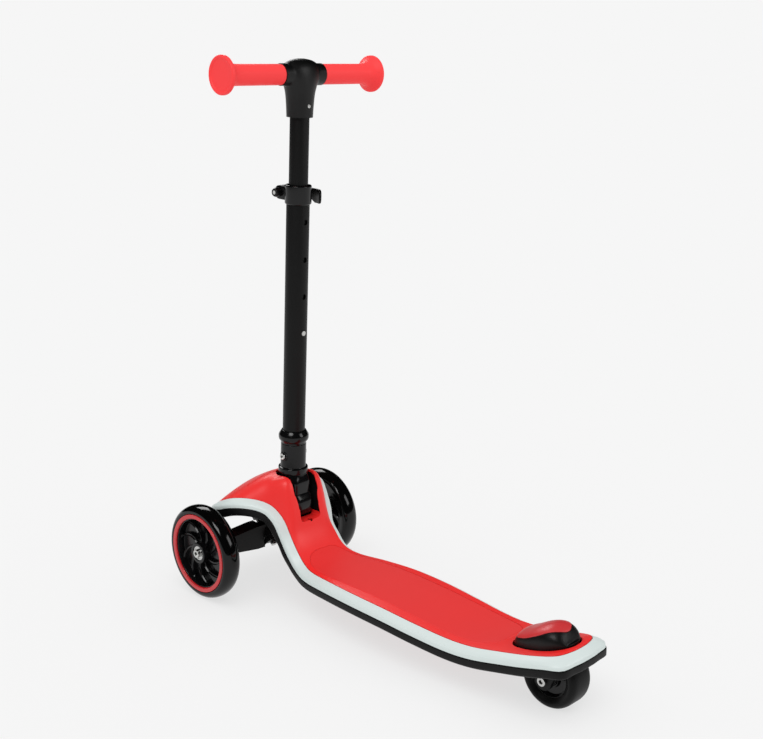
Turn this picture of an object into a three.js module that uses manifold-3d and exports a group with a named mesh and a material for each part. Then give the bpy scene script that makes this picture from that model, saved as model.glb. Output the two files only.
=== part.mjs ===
// Three-wheel kids' scooter, in millimetres.
// +X is the rider's right, +Y the way it rolls, +Z up. While it is built, y = 0 is the front axle;
// the last lines move the whole scooter so that its origin lies on the floor under its middle.
import * as THREE from "three";
import { mergeVertices } from "three/addons/utils/BufferGeometryUtils.js";
import Module from "manifold-3d";

const wasm = await Module();
wasm.setup();

// Clearances
const gap = 0.3; // between pieces that touch
const runGap = 0.4; // round pins and bolts
const sweepGap = 1.2; // between a moving piece and the opening it moves in
const overrun = 6; // how far a cutting shape runs past what it cuts
const weld = 0.001; // corners closer than this are one

// Faces round turned shapes
const wheelSides = 28;
const tubeSides = 20;
const smallSides = 12;
const pinSides = 8;

// Front wheels
const wheelRadius = 73;
const wheelWidth = 29.4;
const wheelClearance = 12.7; // between the light band and a front tyre
const tyreDepth = 16.2;
const coreRim = 6.5;
const coreWidth = 24;
const coreWeb = 2.4;
const hubRadius = 17;
const spokeWidth = 3.4;
const spokeHeight = 7;
const spokeCount = 9;
const spokeSweep = THREE.MathUtils.degToRad(38); // how far each spoke swirls round
const spokeCurl = 1.5; // above one, the swirl grows towards the rim
const trimWidth = 4.2;
const trimThickness = 1;

// Ball bearings and axle bolts
const bearingRadius = 11;
const bearingWidth = 7;
const bearingInset = 1;
const boltRadius = 3.9;
const boltHead = 6.4;
const boltHeadHeight = 4.2;
const boltBite = 18.8; // how far an axle bolt goes into its spindle

// Rear wheel
const rearRadius = 42.5;
const rearWidth = 40;
const rearCore = 27;
const rearDish = 6;

// Deck
const axleToTail = 612.5; // from the front axle back to the end of the red cover
const noseLength = 53.5; // from the front axle forward to the nose
const humpLength = 165; // from the front axle back to where the platform begins
const platformHalfWidth = 62.2;
const wingHalfWidth = 82;
const platformHeight = 69;
const humpHeight = 189;
const coverWall = 3.4;
const baseWall = 4;
const padThickness = 1.6;
const padProud = 0.3;

// Light band round the cover's edge
const bandOut = 12.6;
const bandDrop = 16;
const lipGap = 1.6; // between the band and the lip below it
const lipDrop = 10.5;
const lipOut = 10;
const tubWall = 4;

// Ribs and centre housing of the base
const ribDepth = 15;
const ribThickness = 3;
const ribCount = 4;
const cheekWall = 8.3; // of the housing, beside the knuckle
const housingFloor = 100;

// Fold hinge
const pivotBeforePlatform = 95;
const pivotAboveLatch = 13;
const pinRadius = 5;
const knuckleHalfWidth = 15;
const knuckleBack = 14.5; // pivot to the knuckle's rear face
const knuckleFront = 17.5; // pivot to the knuckle's front face
const wellBelowLatch = 7;
const drainRadius = 4.2;
const slotClearance = 3.3; // round the stem's flare

// Fold latch
const latchRadius = 3.6;
const knobLift = 1.04; // between the nose's edge and the latch's knob
const latchCollar = 7;
const latchCollarWidth = 3;
const latchSpringLength = 19;
const latchWire = 0.8;
const latchTurns = 5;
const knobRadius = 6;
const knobLength = 9;
const knobProud = 5;

// Stem, measured along its own axis from the fold pivot
const stemLean = THREE.MathUtils.degToRad(2.6);
const stemAhead = 4.9; // stem axis in front of the fold pivot
const flareBottom = 48.4;
const flareHeight = 9.4;
const flareProud = 3.3; // past the sleeve
const sleeveWall = 2.1;
const sleeveLength = 37.8; // above the flare
const ringHeight = 21.3;
const ringProud = 3.6; // past the sleeve
const lowerTubeWall = 1.6;
const lowerTubeLength = 420.5;
const lowerTubeSeat = 4.2; // above the flare
const crossBoltRise = 19.1; // above the flare
const crossBoltRadius = 2.9;
const crossBoltHead = 5;
const crossBoltHeadHeight = 3.6;
const bushWall = 0.8;
const bushLength = 36;
const bushFlange = 2.4;

// Height adjustment
const upperTubeRadius = 14;
const upperTubeWall = 2;
const upperTubeTail = 44.9; // below its button
const holePitch = 55;
const holeCount = 4;
const topHoleDrop = 24.9; // clamp's lower end down to the highest hole
const buttonRadius = 3.7;
const buttonProud = 1.2;
const clipWidth = 7;
const clipThickness = 0.9;
const clipLength = 34;

// Clamp at the top of the lower tube
const clampDrop = 21.7; // lower tube's top down to the clamp's lower end
const clampRise = 6.1; // and up to its upper end
const clampWall = 5.4;
const earReach = 16;
const earThickness = 9;
const earSlit = 2.4;
const earHeight = 15;
const clampBoltRadius = 2.9;
const clampNutRadius = 6.6;
const clampNutLength = 9;
const leverThickness = 4.6;
const leverHeight = 13;
const leverFlare = 19;
const leverBoss = 6.4;
const leverBow = 2;
const leverEndRadius = 38.4;
const leverEndAngle = THREE.MathUtils.degToRad(-16);
const leverPin = 3;
const leverEye = 5.4;
const leverEyeHeight = 6.2;

// Handlebar
const teeLift = 95.5; // clamp's upper end up to the tee's lower end
const teeDrop = 58.7; // handlebar down to the tee's lower end
const teeRise = 21.8; // handlebar up to the tee's top
const teeWall = 4.6;
const teeArmWall = 2.9;
const teeArmReach = 37;
const barRadius = 11;
const barHalfLength = 134;
const gripHalfSpan = 141.4;
const gripWall = 3.7;
const gripFlange = 26.3;
const gripFlangeWidth = 6.4;
const gripDish = 2;
const teeScrewRadius = 2.6;
const teeScrewRise = 16.3; // above the tee's lower end
const teeScrewLength = 9;

// Lean-steer truck
const kingpinAngle = THREE.MathUtils.degToRad(50); // above level, rising forwards
const kingpinBack = 5;
const kingpinAboveAxle = 5;
const kingpinRadius = 4;
const kingpinBelowLatch = 18; // latch down to the kingpin's upper end
const truckBossRadius = 17;
const truckBossLength = 27;
const truckDepth = 28;
const bushingLength = 8;
const bushingRadius = 12.5;
const kingpinNutRadius = 7.5;
const kingpinNutLength = 6.5;
const baseBossEnd = 6; // material past the kingpin's upper end
const spindleRadius = 13;
const spindleNose = 6.6;
const spindleNoseLength = 4.5;

// Rear fork and axle
const axleBeforeTail = 36.5;
const forkGap = 2.4;
const forkWall = 6;
const forkRadius = 13;
const forkTopHalfLength = 24;
const axleHead = 6.2;
const axleHeadHeight = 4;
const pocketGap = 2.6;

// Foot brake
const brakeBeforeTail = 9.5;
const brakeLength = 86;
const brakeHalfWidth = 29.5;
const brakeRise = 31.5; // above the rear wheel
const brakeSkirt = 3;
const brakeGap = 3.3;
const pedalGap = 2.4; // between the pedal and the deck's opening
const shelfTop = 67.4; // floor of the brake well
const shelfThickness = 5.4;
const brakePinInset = 10; // behind the pedal's front end
const brakePinDrop = 2.4; // below the brake well's floor
const brakePinRadius = 2.5;
const brakeLug = 6;
const brakeLugHalfWidth = 6;
const brakeEar = 5;
const inlayThickness = 2;
const inlayProud = 0.5;
const inlayInset = 5.5;
const springCoil = 3.7;
const springWire = 0.8;
const springTurns = 3;
const springPitch = 2.1;

// Deck screws
const screwRadius = 1.8;
const screwHead = 3.6;
const screwHeadHeight = 2.4;
const screwBite = 2.2; // how far a screw goes into the cover
const screwSpread = 51.5;
const screwBoss = 5.4;

// Sizes that follow from those above
const tyreBore = wheelRadius - tyreDepth;
const bearingBore = boltRadius + runGap;
const hubHalf = coreWidth / 2 + 2 * bearingInset;
const bearingOuter = hubHalf - bearingInset;
const bearingInner = bearingOuter - bearingWidth;
const wheelTrack = 2 * (wingHalfWidth + bandOut + wheelClearance) + wheelWidth;
const spindleReach = wheelTrack / 2 - bearingOuter - gap - spindleNoseLength;
const nose_edge_share = 0.64; // of the hump's height, where the nose's edge lies
const latchHeight = humpHeight * nose_edge_share + knobLift + knobRadius;
const pivotBehindAxle = humpLength - pivotBeforePlatform;
const pivotHeight = latchHeight + pivotAboveLatch;
const kingpinHeight = wheelRadius + kingpinAboveAxle;
const kingpinTop = (latchHeight - kingpinBelowLatch - kingpinHeight) / Math.sin(kingpinAngle);
const bossStart = truckBossLength / 2 + bushingLength + gap; // of the base's boss, along the kingpin
const kingpinReach = kingpinTop - bossStart; // into that boss
const wellFloor = latchHeight - wellBelowLatch;
const housingHalfWidth = knuckleHalfWidth + sweepGap + cheekWall;
const lowerTubeBore = upperTubeRadius + 2 * gap + bushWall;
const lowerTubeRadius = lowerTubeBore + lowerTubeWall;
const sleeveRadius = lowerTubeRadius + gap + sleeveWall;
const flareRadius = sleeveRadius + flareProud;
const ringRadius = sleeveRadius + ringProud;
const slotTopHalfWidth = flareRadius + slotClearance;
const flareTop = flareBottom + flareHeight;
const sleeveTop = flareTop + sleeveLength;
const ringTop = sleeveTop + ringHeight;
const crossBoltHeight = flareTop + crossBoltRise;
const lowerTubeFoot = flareTop + lowerTubeSeat;
const lowerTubeTop = lowerTubeFoot + lowerTubeLength;
const clampBottom = lowerTubeTop - clampDrop;
const clampTop = lowerTubeTop + clampRise;
const upperTubeBore = upperTubeRadius - upperTubeWall;
const lowestHole = clampBottom - topHoleDrop - (holeCount - 1) * holePitch;
const upperTubeFoot = lowestHole - upperTubeTail;
const teeBottom = clampTop + teeLift;
const teeScrewHeight = teeBottom + teeScrewRise;
const barHeight = teeBottom + teeDrop;
const teeTop = barHeight + teeRise;
const teeSleeveRadius = upperTubeRadius + gap + teeWall;
const teeArmRadius = barRadius + gap + teeArmWall;
const gripRadius = barRadius + gap + gripWall;
const rearAxleBack = axleToTail - axleBeforeTail;
const brakeBack = axleToTail - brakeBeforeTail;
const brakeFront = brakeBack - brakeLength;
const brakeTop = 2 * rearRadius + brakeRise;

const frontAxle = new THREE.Vector3(0, 0, wheelRadius);
const rearAxle = new THREE.Vector3(0, -rearAxleBack, rearRadius);
const foldPivot = new THREE.Vector3(0, -pivotBehindAxle, pivotHeight);
const kingpin = new THREE.Vector3(0, -kingpinBack, kingpinHeight);
const brakePivot = new THREE.Vector3(0, -brakeFront - brakePinInset, shelfTop - brakePinDrop);
const X = new THREE.Vector3(1, 0, 0);
const Y = new THREE.Vector3(0, 1, 0);
const Z = new THREE.Vector3(0, 0, 1);
const kingpinAxis = new THREE.Vector3(0, Math.cos(kingpinAngle), Math.sin(kingpinAngle));

// A solid from a closed geometry, with its shared corners merged and its faces turned outwards.
function solid(geometry) {
  const bare = geometry.index ? geometry.toNonIndexed() : geometry.clone();
  bare.deleteAttribute("normal");
  bare.deleteAttribute("uv");
  const merged = mergeVertices(bare, weld);
  const corners = new Uint32Array(merged.index.array);
  const make = (triVerts) =>
    new wasm.Manifold(
      new wasm.Mesh({ numProp: 3, vertProperties: merged.attributes.position.array, triVerts }),
    );
  const made = make(corners);
  return made.volume() < 0 ? make(corners.reverse()) : made;
}

const join = (...parts) => parts.reduce((whole, part) => whole.add(part));
const cut = (whole, ...parts) => parts.reduce((rest, part) => rest.subtract(part), whole);

// Turns +Y to an axis and moves to a place.
function towards(axis, place) {
  const turn = new THREE.Quaternion().setFromUnitVectors(Y, axis);
  return new THREE.Matrix4().compose(place, turn, new THREE.Vector3(1, 1, 1));
}

const at = (x, y, z) => new THREE.Vector3(x, y, z);

// A box from its two corners.
function box(low, high) {
  const size = high.clone().sub(low);
  const middle = high.clone().add(low).multiplyScalar(0.5);
  const geometry = new THREE.BoxGeometry(size.x, size.y, size.z);
  return solid(geometry.translate(middle.x, middle.y, middle.z));
}

// A round bar that starts at a place and runs along an axis.
function rod(radius, length, axis, start, sides = 24) {
  const geometry = new THREE.CylinderGeometry(radius, radius, length, sides);
  geometry.translate(0, length / 2, 0);
  return solid(geometry.applyMatrix4(towards(axis, start)));
}

// A turned shape: its outline is pairs of radius and place along the axis, closed on the axis.
function turned(outline, axis, place, sides = 32) {
  const points = outline.map(([radius, along]) => new THREE.Vector2(radius, along));
  if (points[0].x > 0) points.push(points[0].clone());
  const geometry = new THREE.LatheGeometry(points, sides);
  return solid(geometry.applyMatrix4(towards(axis, place)));
}

// A flat outline in x and y, thickened along z, then turned and moved.
function plate(shape, thickness, matrix, curveSegments = 12) {
  const geometry = new THREE.ExtrudeGeometry(shape, {
    depth: thickness,
    bevelEnabled: false,
    curveSegments,
  });
  if (matrix) geometry.applyMatrix4(matrix);
  return solid(geometry);
}

// Places the plane of an outline: its x, y and thickness run along three axes of the scooter.
function plane(across, up, through, origin) {
  const matrix = new THREE.Matrix4().makeBasis(across, up, through);
  return matrix.setPosition(origin);
}

// Triangles that close a flat ring of points.
function capOf(ring) {
  const normal = at(0, 0, 0);
  ring.forEach((p, j) => normal.add(p.clone().cross(ring[(j + 1) % ring.length])));
  const turn = new THREE.Quaternion().setFromUnitVectors(normal.normalize(), Z);
  const outline = ring.map((p) => {
    const flat = p.clone().applyQuaternion(turn);
    return new THREE.Vector2(flat.x, flat.y);
  });
  return THREE.ShapeUtils.triangulateShape(outline, []);
}

// A skin over rings of points, closed by flat ends or by joining the last ring to the first.
function loft(rings, endless = false) {
  const count = rings[0].length;
  const position = [];
  const push = (...points) => points.forEach((p) => position.push(p.x, p.y, p.z));
  const spans = endless ? rings.length : rings.length - 1;
  for (let i = 0; i < spans; i++) {
    const here = rings[i];
    const next = rings[(i + 1) % rings.length];
    for (let j = 0; j < count; j++) {
      const k = (j + 1) % count;
      push(here[j], next[j], next[k], here[j], next[k], here[k]);
    }
  }
  if (!endless) {
    const first = rings[0];
    const last = rings[rings.length - 1];
    for (const [a, b, c] of capOf(first)) push(first[a], first[b], first[c]);
    for (const [a, b, c] of capOf(last)) push(last[a], last[c], last[b]);
  }
  const geometry = new THREE.BufferGeometry();
  geometry.setAttribute("position", new THREE.Float32BufferAttribute(position, 3));
  return solid(geometry);
}

// A round wire along a list of points, thickened by rings that keep square to it.
function wire(points, radius, sides = 6) {
  const rings = points.map((p, i) => {
    const before = points[Math.max(i - 1, 0)];
    const after = points[Math.min(i + 1, points.length - 1)];
    const along = after.clone().sub(before).normalize();
    const side = Math.abs(along.x) > Math.abs(along.y) + Math.abs(along.z) ? Z.clone() : X.clone();
    side.sub(along.clone().multiplyScalar(side.dot(along))).normalize();
    const up = along.clone().cross(side);
    return Array.from({ length: sides }, (_, j) => {
      const angle = (j / sides) * 2 * Math.PI;
      return p
        .clone()
        .addScaledVector(side, radius * Math.cos(angle))
        .addScaledVector(up, radius * Math.sin(angle));
    });
  });
  return loft(rings);
}

// Outline of the red cover. Each row gives where it lies (y), half its width, the height of its edge,
// the height of its middle, and how square its section is. Rows in front of the axle are shares of the
// nose, rows on the hump are shares of the hump, and the rest are shares of the platform behind it.
const nose_shares = [
  [1, 0.05, nose_edge_share, 0.648, 2.6],
  [0.97, 0.24, 0.643, 0.668, 2.6],
  [0.88, 0.49, 0.654, 0.71, 2.6],
  [0.69, 0.73, 0.677, 0.783, 2.7],
  [0.45, 0.9, 0.712, 0.862, 2.8],
  [0.15, 1, 0.754, 0.931, 3],
];
const hump_shares = [
  [0.085, 0.988, 0.804, 0.976, 3.2],
  [0.194, 0.915, 0.825, 0.995, 3.4],
  [0.291, 0.805, 0.826, 1, 3.8],
  [0.376, 0.695, 0.812, 0.997, 4.4],
  [0.461, 0.604, 0.78, 0.976, 5],
  [0.533, 0.549, 0.725, 0.94, 6],
  [0.576, 0.522, 0.677, 0.889, 6],
  [0.606, 0.507, 0.632, 0.81, 6],
  [0.633, 0.5, 0.587, 0.714, 5],
  [0.661, 0.501, 0.55, 0.622, 4],
  [0.703, 0.507, 0.503, 0.54, 3.5],
  [0.776, 0.515, 0.431, 0.455, 3],
  [0.861, 0.543, 0.38, 0.4, 3],
];
const platform_shares = [
  [0, 0.796, 0.971, 1.014, 3],
  [0.112, 0.916, 0.996, 1.03, 3],
  [0.235, 0.994, 1.012, 1.043, 3],
  [0.369, 1, 0.991, 1.022, 3],
  [0.496, 0.968, 0.941, 0.971, 3],
  [0.615, 0.908, 0.901, 0.93, 3],
  [0.704, 0.841, 0.922, 0.949, 3],
  [0.793, 0.76, 1.017, 1.043, 3],
  [0.872, 0.723, 1.13, 1.159, 3],
  [0.932, 0.688, 1.239, 1.268, 3],
  [0.968, 0.611, 1.304, 1.333, 3],
  [0.988, 0.45, 1.333, 1.355, 3],
  [0.998, 0.225, 1.345, 1.359, 3],
  [1, 0.064, 1.348, 1.357, 3],
];
const platformLength = axleToTail - humpLength;
const rowsOf = (shares, start, length, halfWidth, height) =>
  shares.map(([along, wide, edge, crown, square]) => ({
    y: start - length * along,
    half: halfWidth * wide,
    edge: height * edge,
    crown: height * crown,
    square,
  }));
const stations = [
  ...rowsOf(nose_shares, 0, -noseLength, wingHalfWidth, humpHeight),
  ...rowsOf(hump_shares, 0, humpLength, wingHalfWidth, humpHeight),
  ...rowsOf(platform_shares, -humpLength, platformLength, platformHalfWidth, platformHeight),
];
const across = (count) =>
  Array.from({ length: 2 * count + 1 }, (_, j) => Math.sin((Math.PI / 2) * (j / count - 1)));
const coverAcross = across(4);
const baseAcross = across(2);
const topAt = (station, share) =>
  station.edge + (station.crown - station.edge) * (1 - Math.abs(share) ** station.square);

// A slab of the deck between two heights that are worked out from the height of the cover's outer face.
function slab(high, low, shares, inset = 0) {
  return loft(
    stations.map((s) => {
      const half = s.half - Math.min(inset, s.half / 2);
      const top = shares.map((share) => at(half * share, s.y, high(topAt(s, share))));
      const bottom = shares.map((share) => at(half * share, s.y, low(topAt(s, share))));
      return [...top, ...bottom.reverse()];
    }),
  );
}
const below = (depth) => (height) => height - depth;
const layer = (high, low, shares = coverAcross, inset = 0) => slab(below(high), below(low), shares, inset);
const filling = (high, floor, inset = 0) =>
  slab(below(high), (height) => Math.min(floor, height - high - gap), baseAcross, inset);

// A profile carried round the cover's edge: pairs of outward and downward distance.
const rim = [
  ...stations.map((s) => at(s.half, s.y, s.edge)),
  ...stations.map((s) => at(-s.half, s.y, s.edge)).reverse(),
];
function carried(profile) {
  return loft(
    rim.map((p, i) => {
      const before = rim[(i + rim.length - 1) % rim.length];
      const after = rim[(i + 1) % rim.length];
      const along = after.clone().sub(before).normalize();
      const outward = at(-along.y, along.x, 0).normalize();
      const down = outward.clone().cross(along);
      return profile.map(([out, drop]) =>
        p.clone().addScaledVector(outward, out).addScaledVector(down, drop),
      );
    }),
    true,
  );
}

// An oval outline, squarer than an ellipse, in x and y.
function oval(halfWidth, front, back, square, count = 28) {
  const middle = (front + back) / 2;
  const half = (front - back) / 2;
  const corner = (value) => Math.sign(value) * Math.abs(value) ** (2 / square);
  const points = Array.from({ length: count }, (_, i) => {
    const angle = (i / count) * 2 * Math.PI;
    return new THREE.Vector2(
      halfWidth * corner(Math.cos(angle)),
      middle + half * corner(Math.sin(angle)),
    );
  });
  return new THREE.Shape(points);
}

// Upright walls over an outline, tall enough to cut the whole scooter.
const tall = humpHeight + overrun;
const upright = (shape) => plate(shape, tall, plane(X, Y, Z, at(0, 0, 0)));

const floorTop = coverWall + gap;
const floorBottom = floorTop + baseWall;

// Red cover with its pad recess, fold slot, drain hole and brake opening
const pad_shares = [0.72, 0.755, 0.78]; // of the hump, of the platform and of its half width
const padFront = humpLength * pad_shares[0];
const padBack = humpLength + platformLength * pad_shares[1];
const padHalfWidth = platformHalfWidth * pad_shares[2];
const padSquareness = 4.2;
const padShape = (margin) =>
  oval(padHalfWidth - margin, -padFront - margin, -padBack + margin, padSquareness, 24);
const brake_shares = [
  [0, 0.2, 0],
  [0.02, 0.5, 0.16],
  [0.12, 0.82, 0.4],
  [0.3, 0.96, 0.62],
  [0.5, 1, 0.86],
  [0.68, 0.99, 0.98],
  [0.83, 0.89, 0.98],
  [0.94, 0.67, 0.82],
  [1, 0.24, 0.45],
]; // along, half width, rise
const brakeRows = (inset) =>
  brake_shares.map(([along, wide, rise]) => ({
    y: -brakeFront - inset - (brakeLength - 2 * inset) * along,
    half: (brakeHalfWidth - inset) * wide,
    rise,
  }));
function brakeShape(inset) {
  const right = brakeRows(inset).map(({ y, half }) => new THREE.Vector2(half, y));
  const left = brakeRows(inset).map(({ y, half }) => new THREE.Vector2(-half, y));
  return new THREE.Shape([...right, ...left.reverse()]);
}

const slot_shoulder_share = 0.4; // of the way up to the flare, where the slot begins to widen
function slotOpening(margin) {
  const low = knuckleHalfWidth + sweepGap + margin;
  const wide = slotTopHalfWidth + margin;
  const floor = wellFloor - margin;
  const shoulder = pivotHeight + flareBottom * slot_shoulder_share;
  const outline = new THREE.Shape();
  outline.moveTo(-low, floor);
  outline.lineTo(low, floor);
  outline.lineTo(low, shoulder);
  outline.bezierCurveTo(low, shoulder + low, wide, humpHeight - low, wide, humpHeight + overrun);
  outline.lineTo(-wide, humpHeight + overrun);
  outline.bezierCurveTo(-wide, humpHeight - low, -low, shoulder + low, -low, shoulder);
  const reach = humpLength;
  const front = foldPivot.y + stemAhead + slotTopHalfWidth + margin;
  const through = plate(outline, reach, plane(X, Z, Y.clone().negate(), at(0, front, 0)), 4);
  const plan = new THREE.Shape();
  const centre = front - wide;
  plan.absarc(0, centre, wide, 0, Math.PI, false);
  plan.lineTo(-wide, front - reach);
  plan.lineTo(wide, front - reach);
  return through.intersect(plate(plan, tall, plane(X, Y, Z, at(0, 0, 0)), 8));
}

const screw_shares = [0.2, 0.5];
const screwPlaces = screw_shares.flatMap((share) =>
  [-1, 1].map((side) => [side * screwSpread, -humpLength - platformLength * share]),
);
function surfaceAt([x, y]) {
  const i = stations.findIndex((s) => s.y <= y);
  const [ahead, behind] = [stations[i - 1], stations[i]];
  const share = (ahead.y - y) / (ahead.y - behind.y);
  const heights = [ahead, behind].map((s) => topAt(s, Math.min(Math.abs(x) / s.half, 1)));
  return heights[0] + (heights[1] - heights[0]) * share;
}
const screwTip = (place) => at(place[0], place[1], surfaceAt(place) - coverWall - gap);
const screwSeat = (place) => at(place[0], place[1], surfaceAt(place) - floorBottom);

const ledgeFront = foldPivot.y - knuckleBack - sweepGap * 4;
const ledge_share = 0.674; // of the hump, where its rear slope meets the ledge
const ledgeBack = -humpLength * ledge_share;
const ledge = box(
  at(-knuckleHalfWidth - coverWall, ledgeBack, wellFloor - coverWall),
  at(knuckleHalfWidth + coverWall, ledgeFront, wellFloor),
).intersect(filling(coverWall / 2, platformHeight));
const drainPlace = at(0, (ledgeFront + ledgeBack) / 2 + drainRadius / 2, wellFloor - 2 * coverWall);
const knobPlace = at(0, noseLength - knobLength, latchHeight);
const cover = cut(
  join(cut(layer(0, coverWall), slotOpening(0)), ledge),
  rod(drainRadius, 4 * coverWall, Z, drainPlace, smallSides),
  layer(-overrun, padThickness + gap).intersect(upright(padShape(0))),
  upright(brakeShape(-pedalGap)),
  ...screwPlaces.map((place) => rod(screwRadius + gap, screwBite + 2 * gap, Z, screwTip(place), pinSides)),
  rod(knobRadius + gap, noseLength, Y, knobPlace, smallSides),
);

// Pad, let into the cover
const pad = layer(-padProud, padThickness).intersect(upright(padShape(gap)));

// Light band: shares of how far out and how far down its section reaches
const band_shares = [
  [0.36, -0.02],
  [0.7, 0.15],
  [0.94, 0.45],
  [1, 1],
];
const band = carried([
  [2 * gap, gap],
  ...band_shares.map(([out, drop]) => [bandOut * out, bandDrop * drop]),
  [2 * gap, bandDrop],
]);

// Base: a tub under the cover with a lip under the band, ribs, the housing and the rear fork
const lip_shares = [
  [0.9, 0.5],
  [0.4, 1],
];
const lip_root_share = 0.8; // of the lip's drop, where it joins the tub
const lip = carried([
  [-tubWall, coverWall + 2 * gap],
  [-sweepGap, coverWall + 2 * gap],
  [-sweepGap, bandDrop + lipGap],
  [lipOut, bandDrop + lipGap],
  ...lip_shares.map(([out, drop]) => [lipOut * out, bandDrop + lipDrop * drop]),
  [-tubWall, bandDrop + lipDrop * lip_root_share],
]);
const housing_shares = [0.7, 0.7]; // of the nose and of the hump
const housingFront = noseLength * housing_shares[0];
const housingBack = humpLength * housing_shares[1];
const hump_rib_shares = [-0.05, 0.35];
const spine_share = 0.8; // of the housing's length, where the two long ribs begin
function ribs() {
  const deep = layer(floorTop + gap, floorBottom + ribDepth, baseAcross, tubWall / 2);
  const end = rearAxleBack - rearRadius - overrun;
  const places = hump_rib_shares.map((share) => -humpLength * share);
  const pitch = (end - humpLength) / ribCount;
  for (let i = 0; i < ribCount; i++) places.push(-humpLength - pitch * (i + 1 / 2));
  const half = ribThickness / 2;
  const bars = places.map((y) => box(at(-wingHalfWidth, y - half, 0), at(wingHalfWidth, y + half, tall)));
  for (const x of [-housingHalfWidth, housingHalfWidth])
    bars.push(box(at(x - half, -end, 0), at(x + half, -housingBack * spine_share, tall)));
  return deep.intersect(join(...bars));
}

const bossPlace = kingpin.clone().addScaledVector(kingpinAxis, bossStart);
function housing() {
  const block = box(
    at(-housingHalfWidth, -housingBack, housingFloor),
    at(housingHalfWidth, housingFront, tall),
  );
  const boss = rod(truckBossRadius - sweepGap, kingpinReach + baseBossEnd, kingpinAxis, bossPlace, tubeSides);
  const hollow = box(
    at(baseWall - housingHalfWidth, springEnd - knobRadius, latchHeight + latchCollar + baseWall),
    at(housingHalfWidth - baseWall, housingFront - baseWall, tall),
  );
  const inside = filling(floorTop + gap, housingFloor - overrun, tubWall).intersect(block);
  return join(cut(inside, hollow), boss);
}

const forkOuter = rearWidth / 2 + forkGap + forkWall;
function fork() {
  const cheek = new THREE.Shape();
  const top = shelfTop - shelfThickness / 2;
  cheek.moveTo(rearAxle.y + forkTopHalfLength, top);
  cheek.lineTo(rearAxle.y + forkRadius, rearAxle.z);
  cheek.absarc(rearAxle.y, rearAxle.z, forkRadius, 0, -Math.PI, true);
  cheek.lineTo(rearAxle.y - forkTopHalfLength, top);
  const inner = rearWidth / 2 + forkGap;
  return [inner, -inner - forkWall].map((x) => plate(cheek, forkWall, plane(Y, Z, X, at(x, 0, 0)), 8));
}

const knuckleWell = join(
  slotOpening(2 * gap),
  box(
    at(-knuckleHalfWidth - coverWall - gap, ledgeBack - humpLength, wellFloor - coverWall - gap),
    at(knuckleHalfWidth + coverWall + gap, ledgeFront + gap, tall),
  ),
);

// Floor of the brake well, which also carries the rear fork
const brakeShelf = box(
  at(-wingHalfWidth, -axleToTail, shelfTop - shelfThickness),
  at(wingHalfWidth, -brakeFront + forkRadius, shelfTop),
).intersect(filling(floorTop, 0, tubWall / 2));
const lugStart = -brakeLugHalfWidth;
const springLength = springTurns * springPitch + 2 * springWire;
const lugRoomEnd = brakeLugHalfWidth + springLength + 3 * gap;
const lugRoom = box(
  at(lugStart - gap, brakePivot.y - brakeLug - pedalGap, shelfTop - 4 * shelfThickness),
  at(lugRoomEnd, brakePivot.y + brakeLug + pedalGap, tall),
);
const brakePinStart = lugStart - 2 * gap - brakeEar;
const brakePinLength = lugRoomEnd + brakeEar + gap - brakePinStart;

function brakeEars() {
  const shape = new THREE.Shape();
  shape.moveTo(brakePivot.y + brakeEar, brakePivot.z - brakeEar);
  shape.lineTo(brakePivot.y + brakeEar, brakePivot.z);
  shape.absarc(brakePivot.y, brakePivot.z, brakeEar, 0, Math.PI, false);
  shape.lineTo(brakePivot.y - brakeEar, brakePivot.z - brakeEar);
  return [lugRoomEnd, lugStart - gap - brakeEar].map((x) =>
    plate(shape, brakeEar, plane(Y, Z, X, at(x, 0, 0)), 6),
  );
}

// Latch places
const latchTip = at(0, foldPivot.y + knuckleFront + gap, latchHeight);
const collarStart = foldPivot.y + stemAhead + slotTopHalfWidth + 2 * sweepGap;
const collarEnd = collarStart + latchCollarWidth;
const springEnd = collarEnd + latchSpringLength + 2 * gap;

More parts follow.
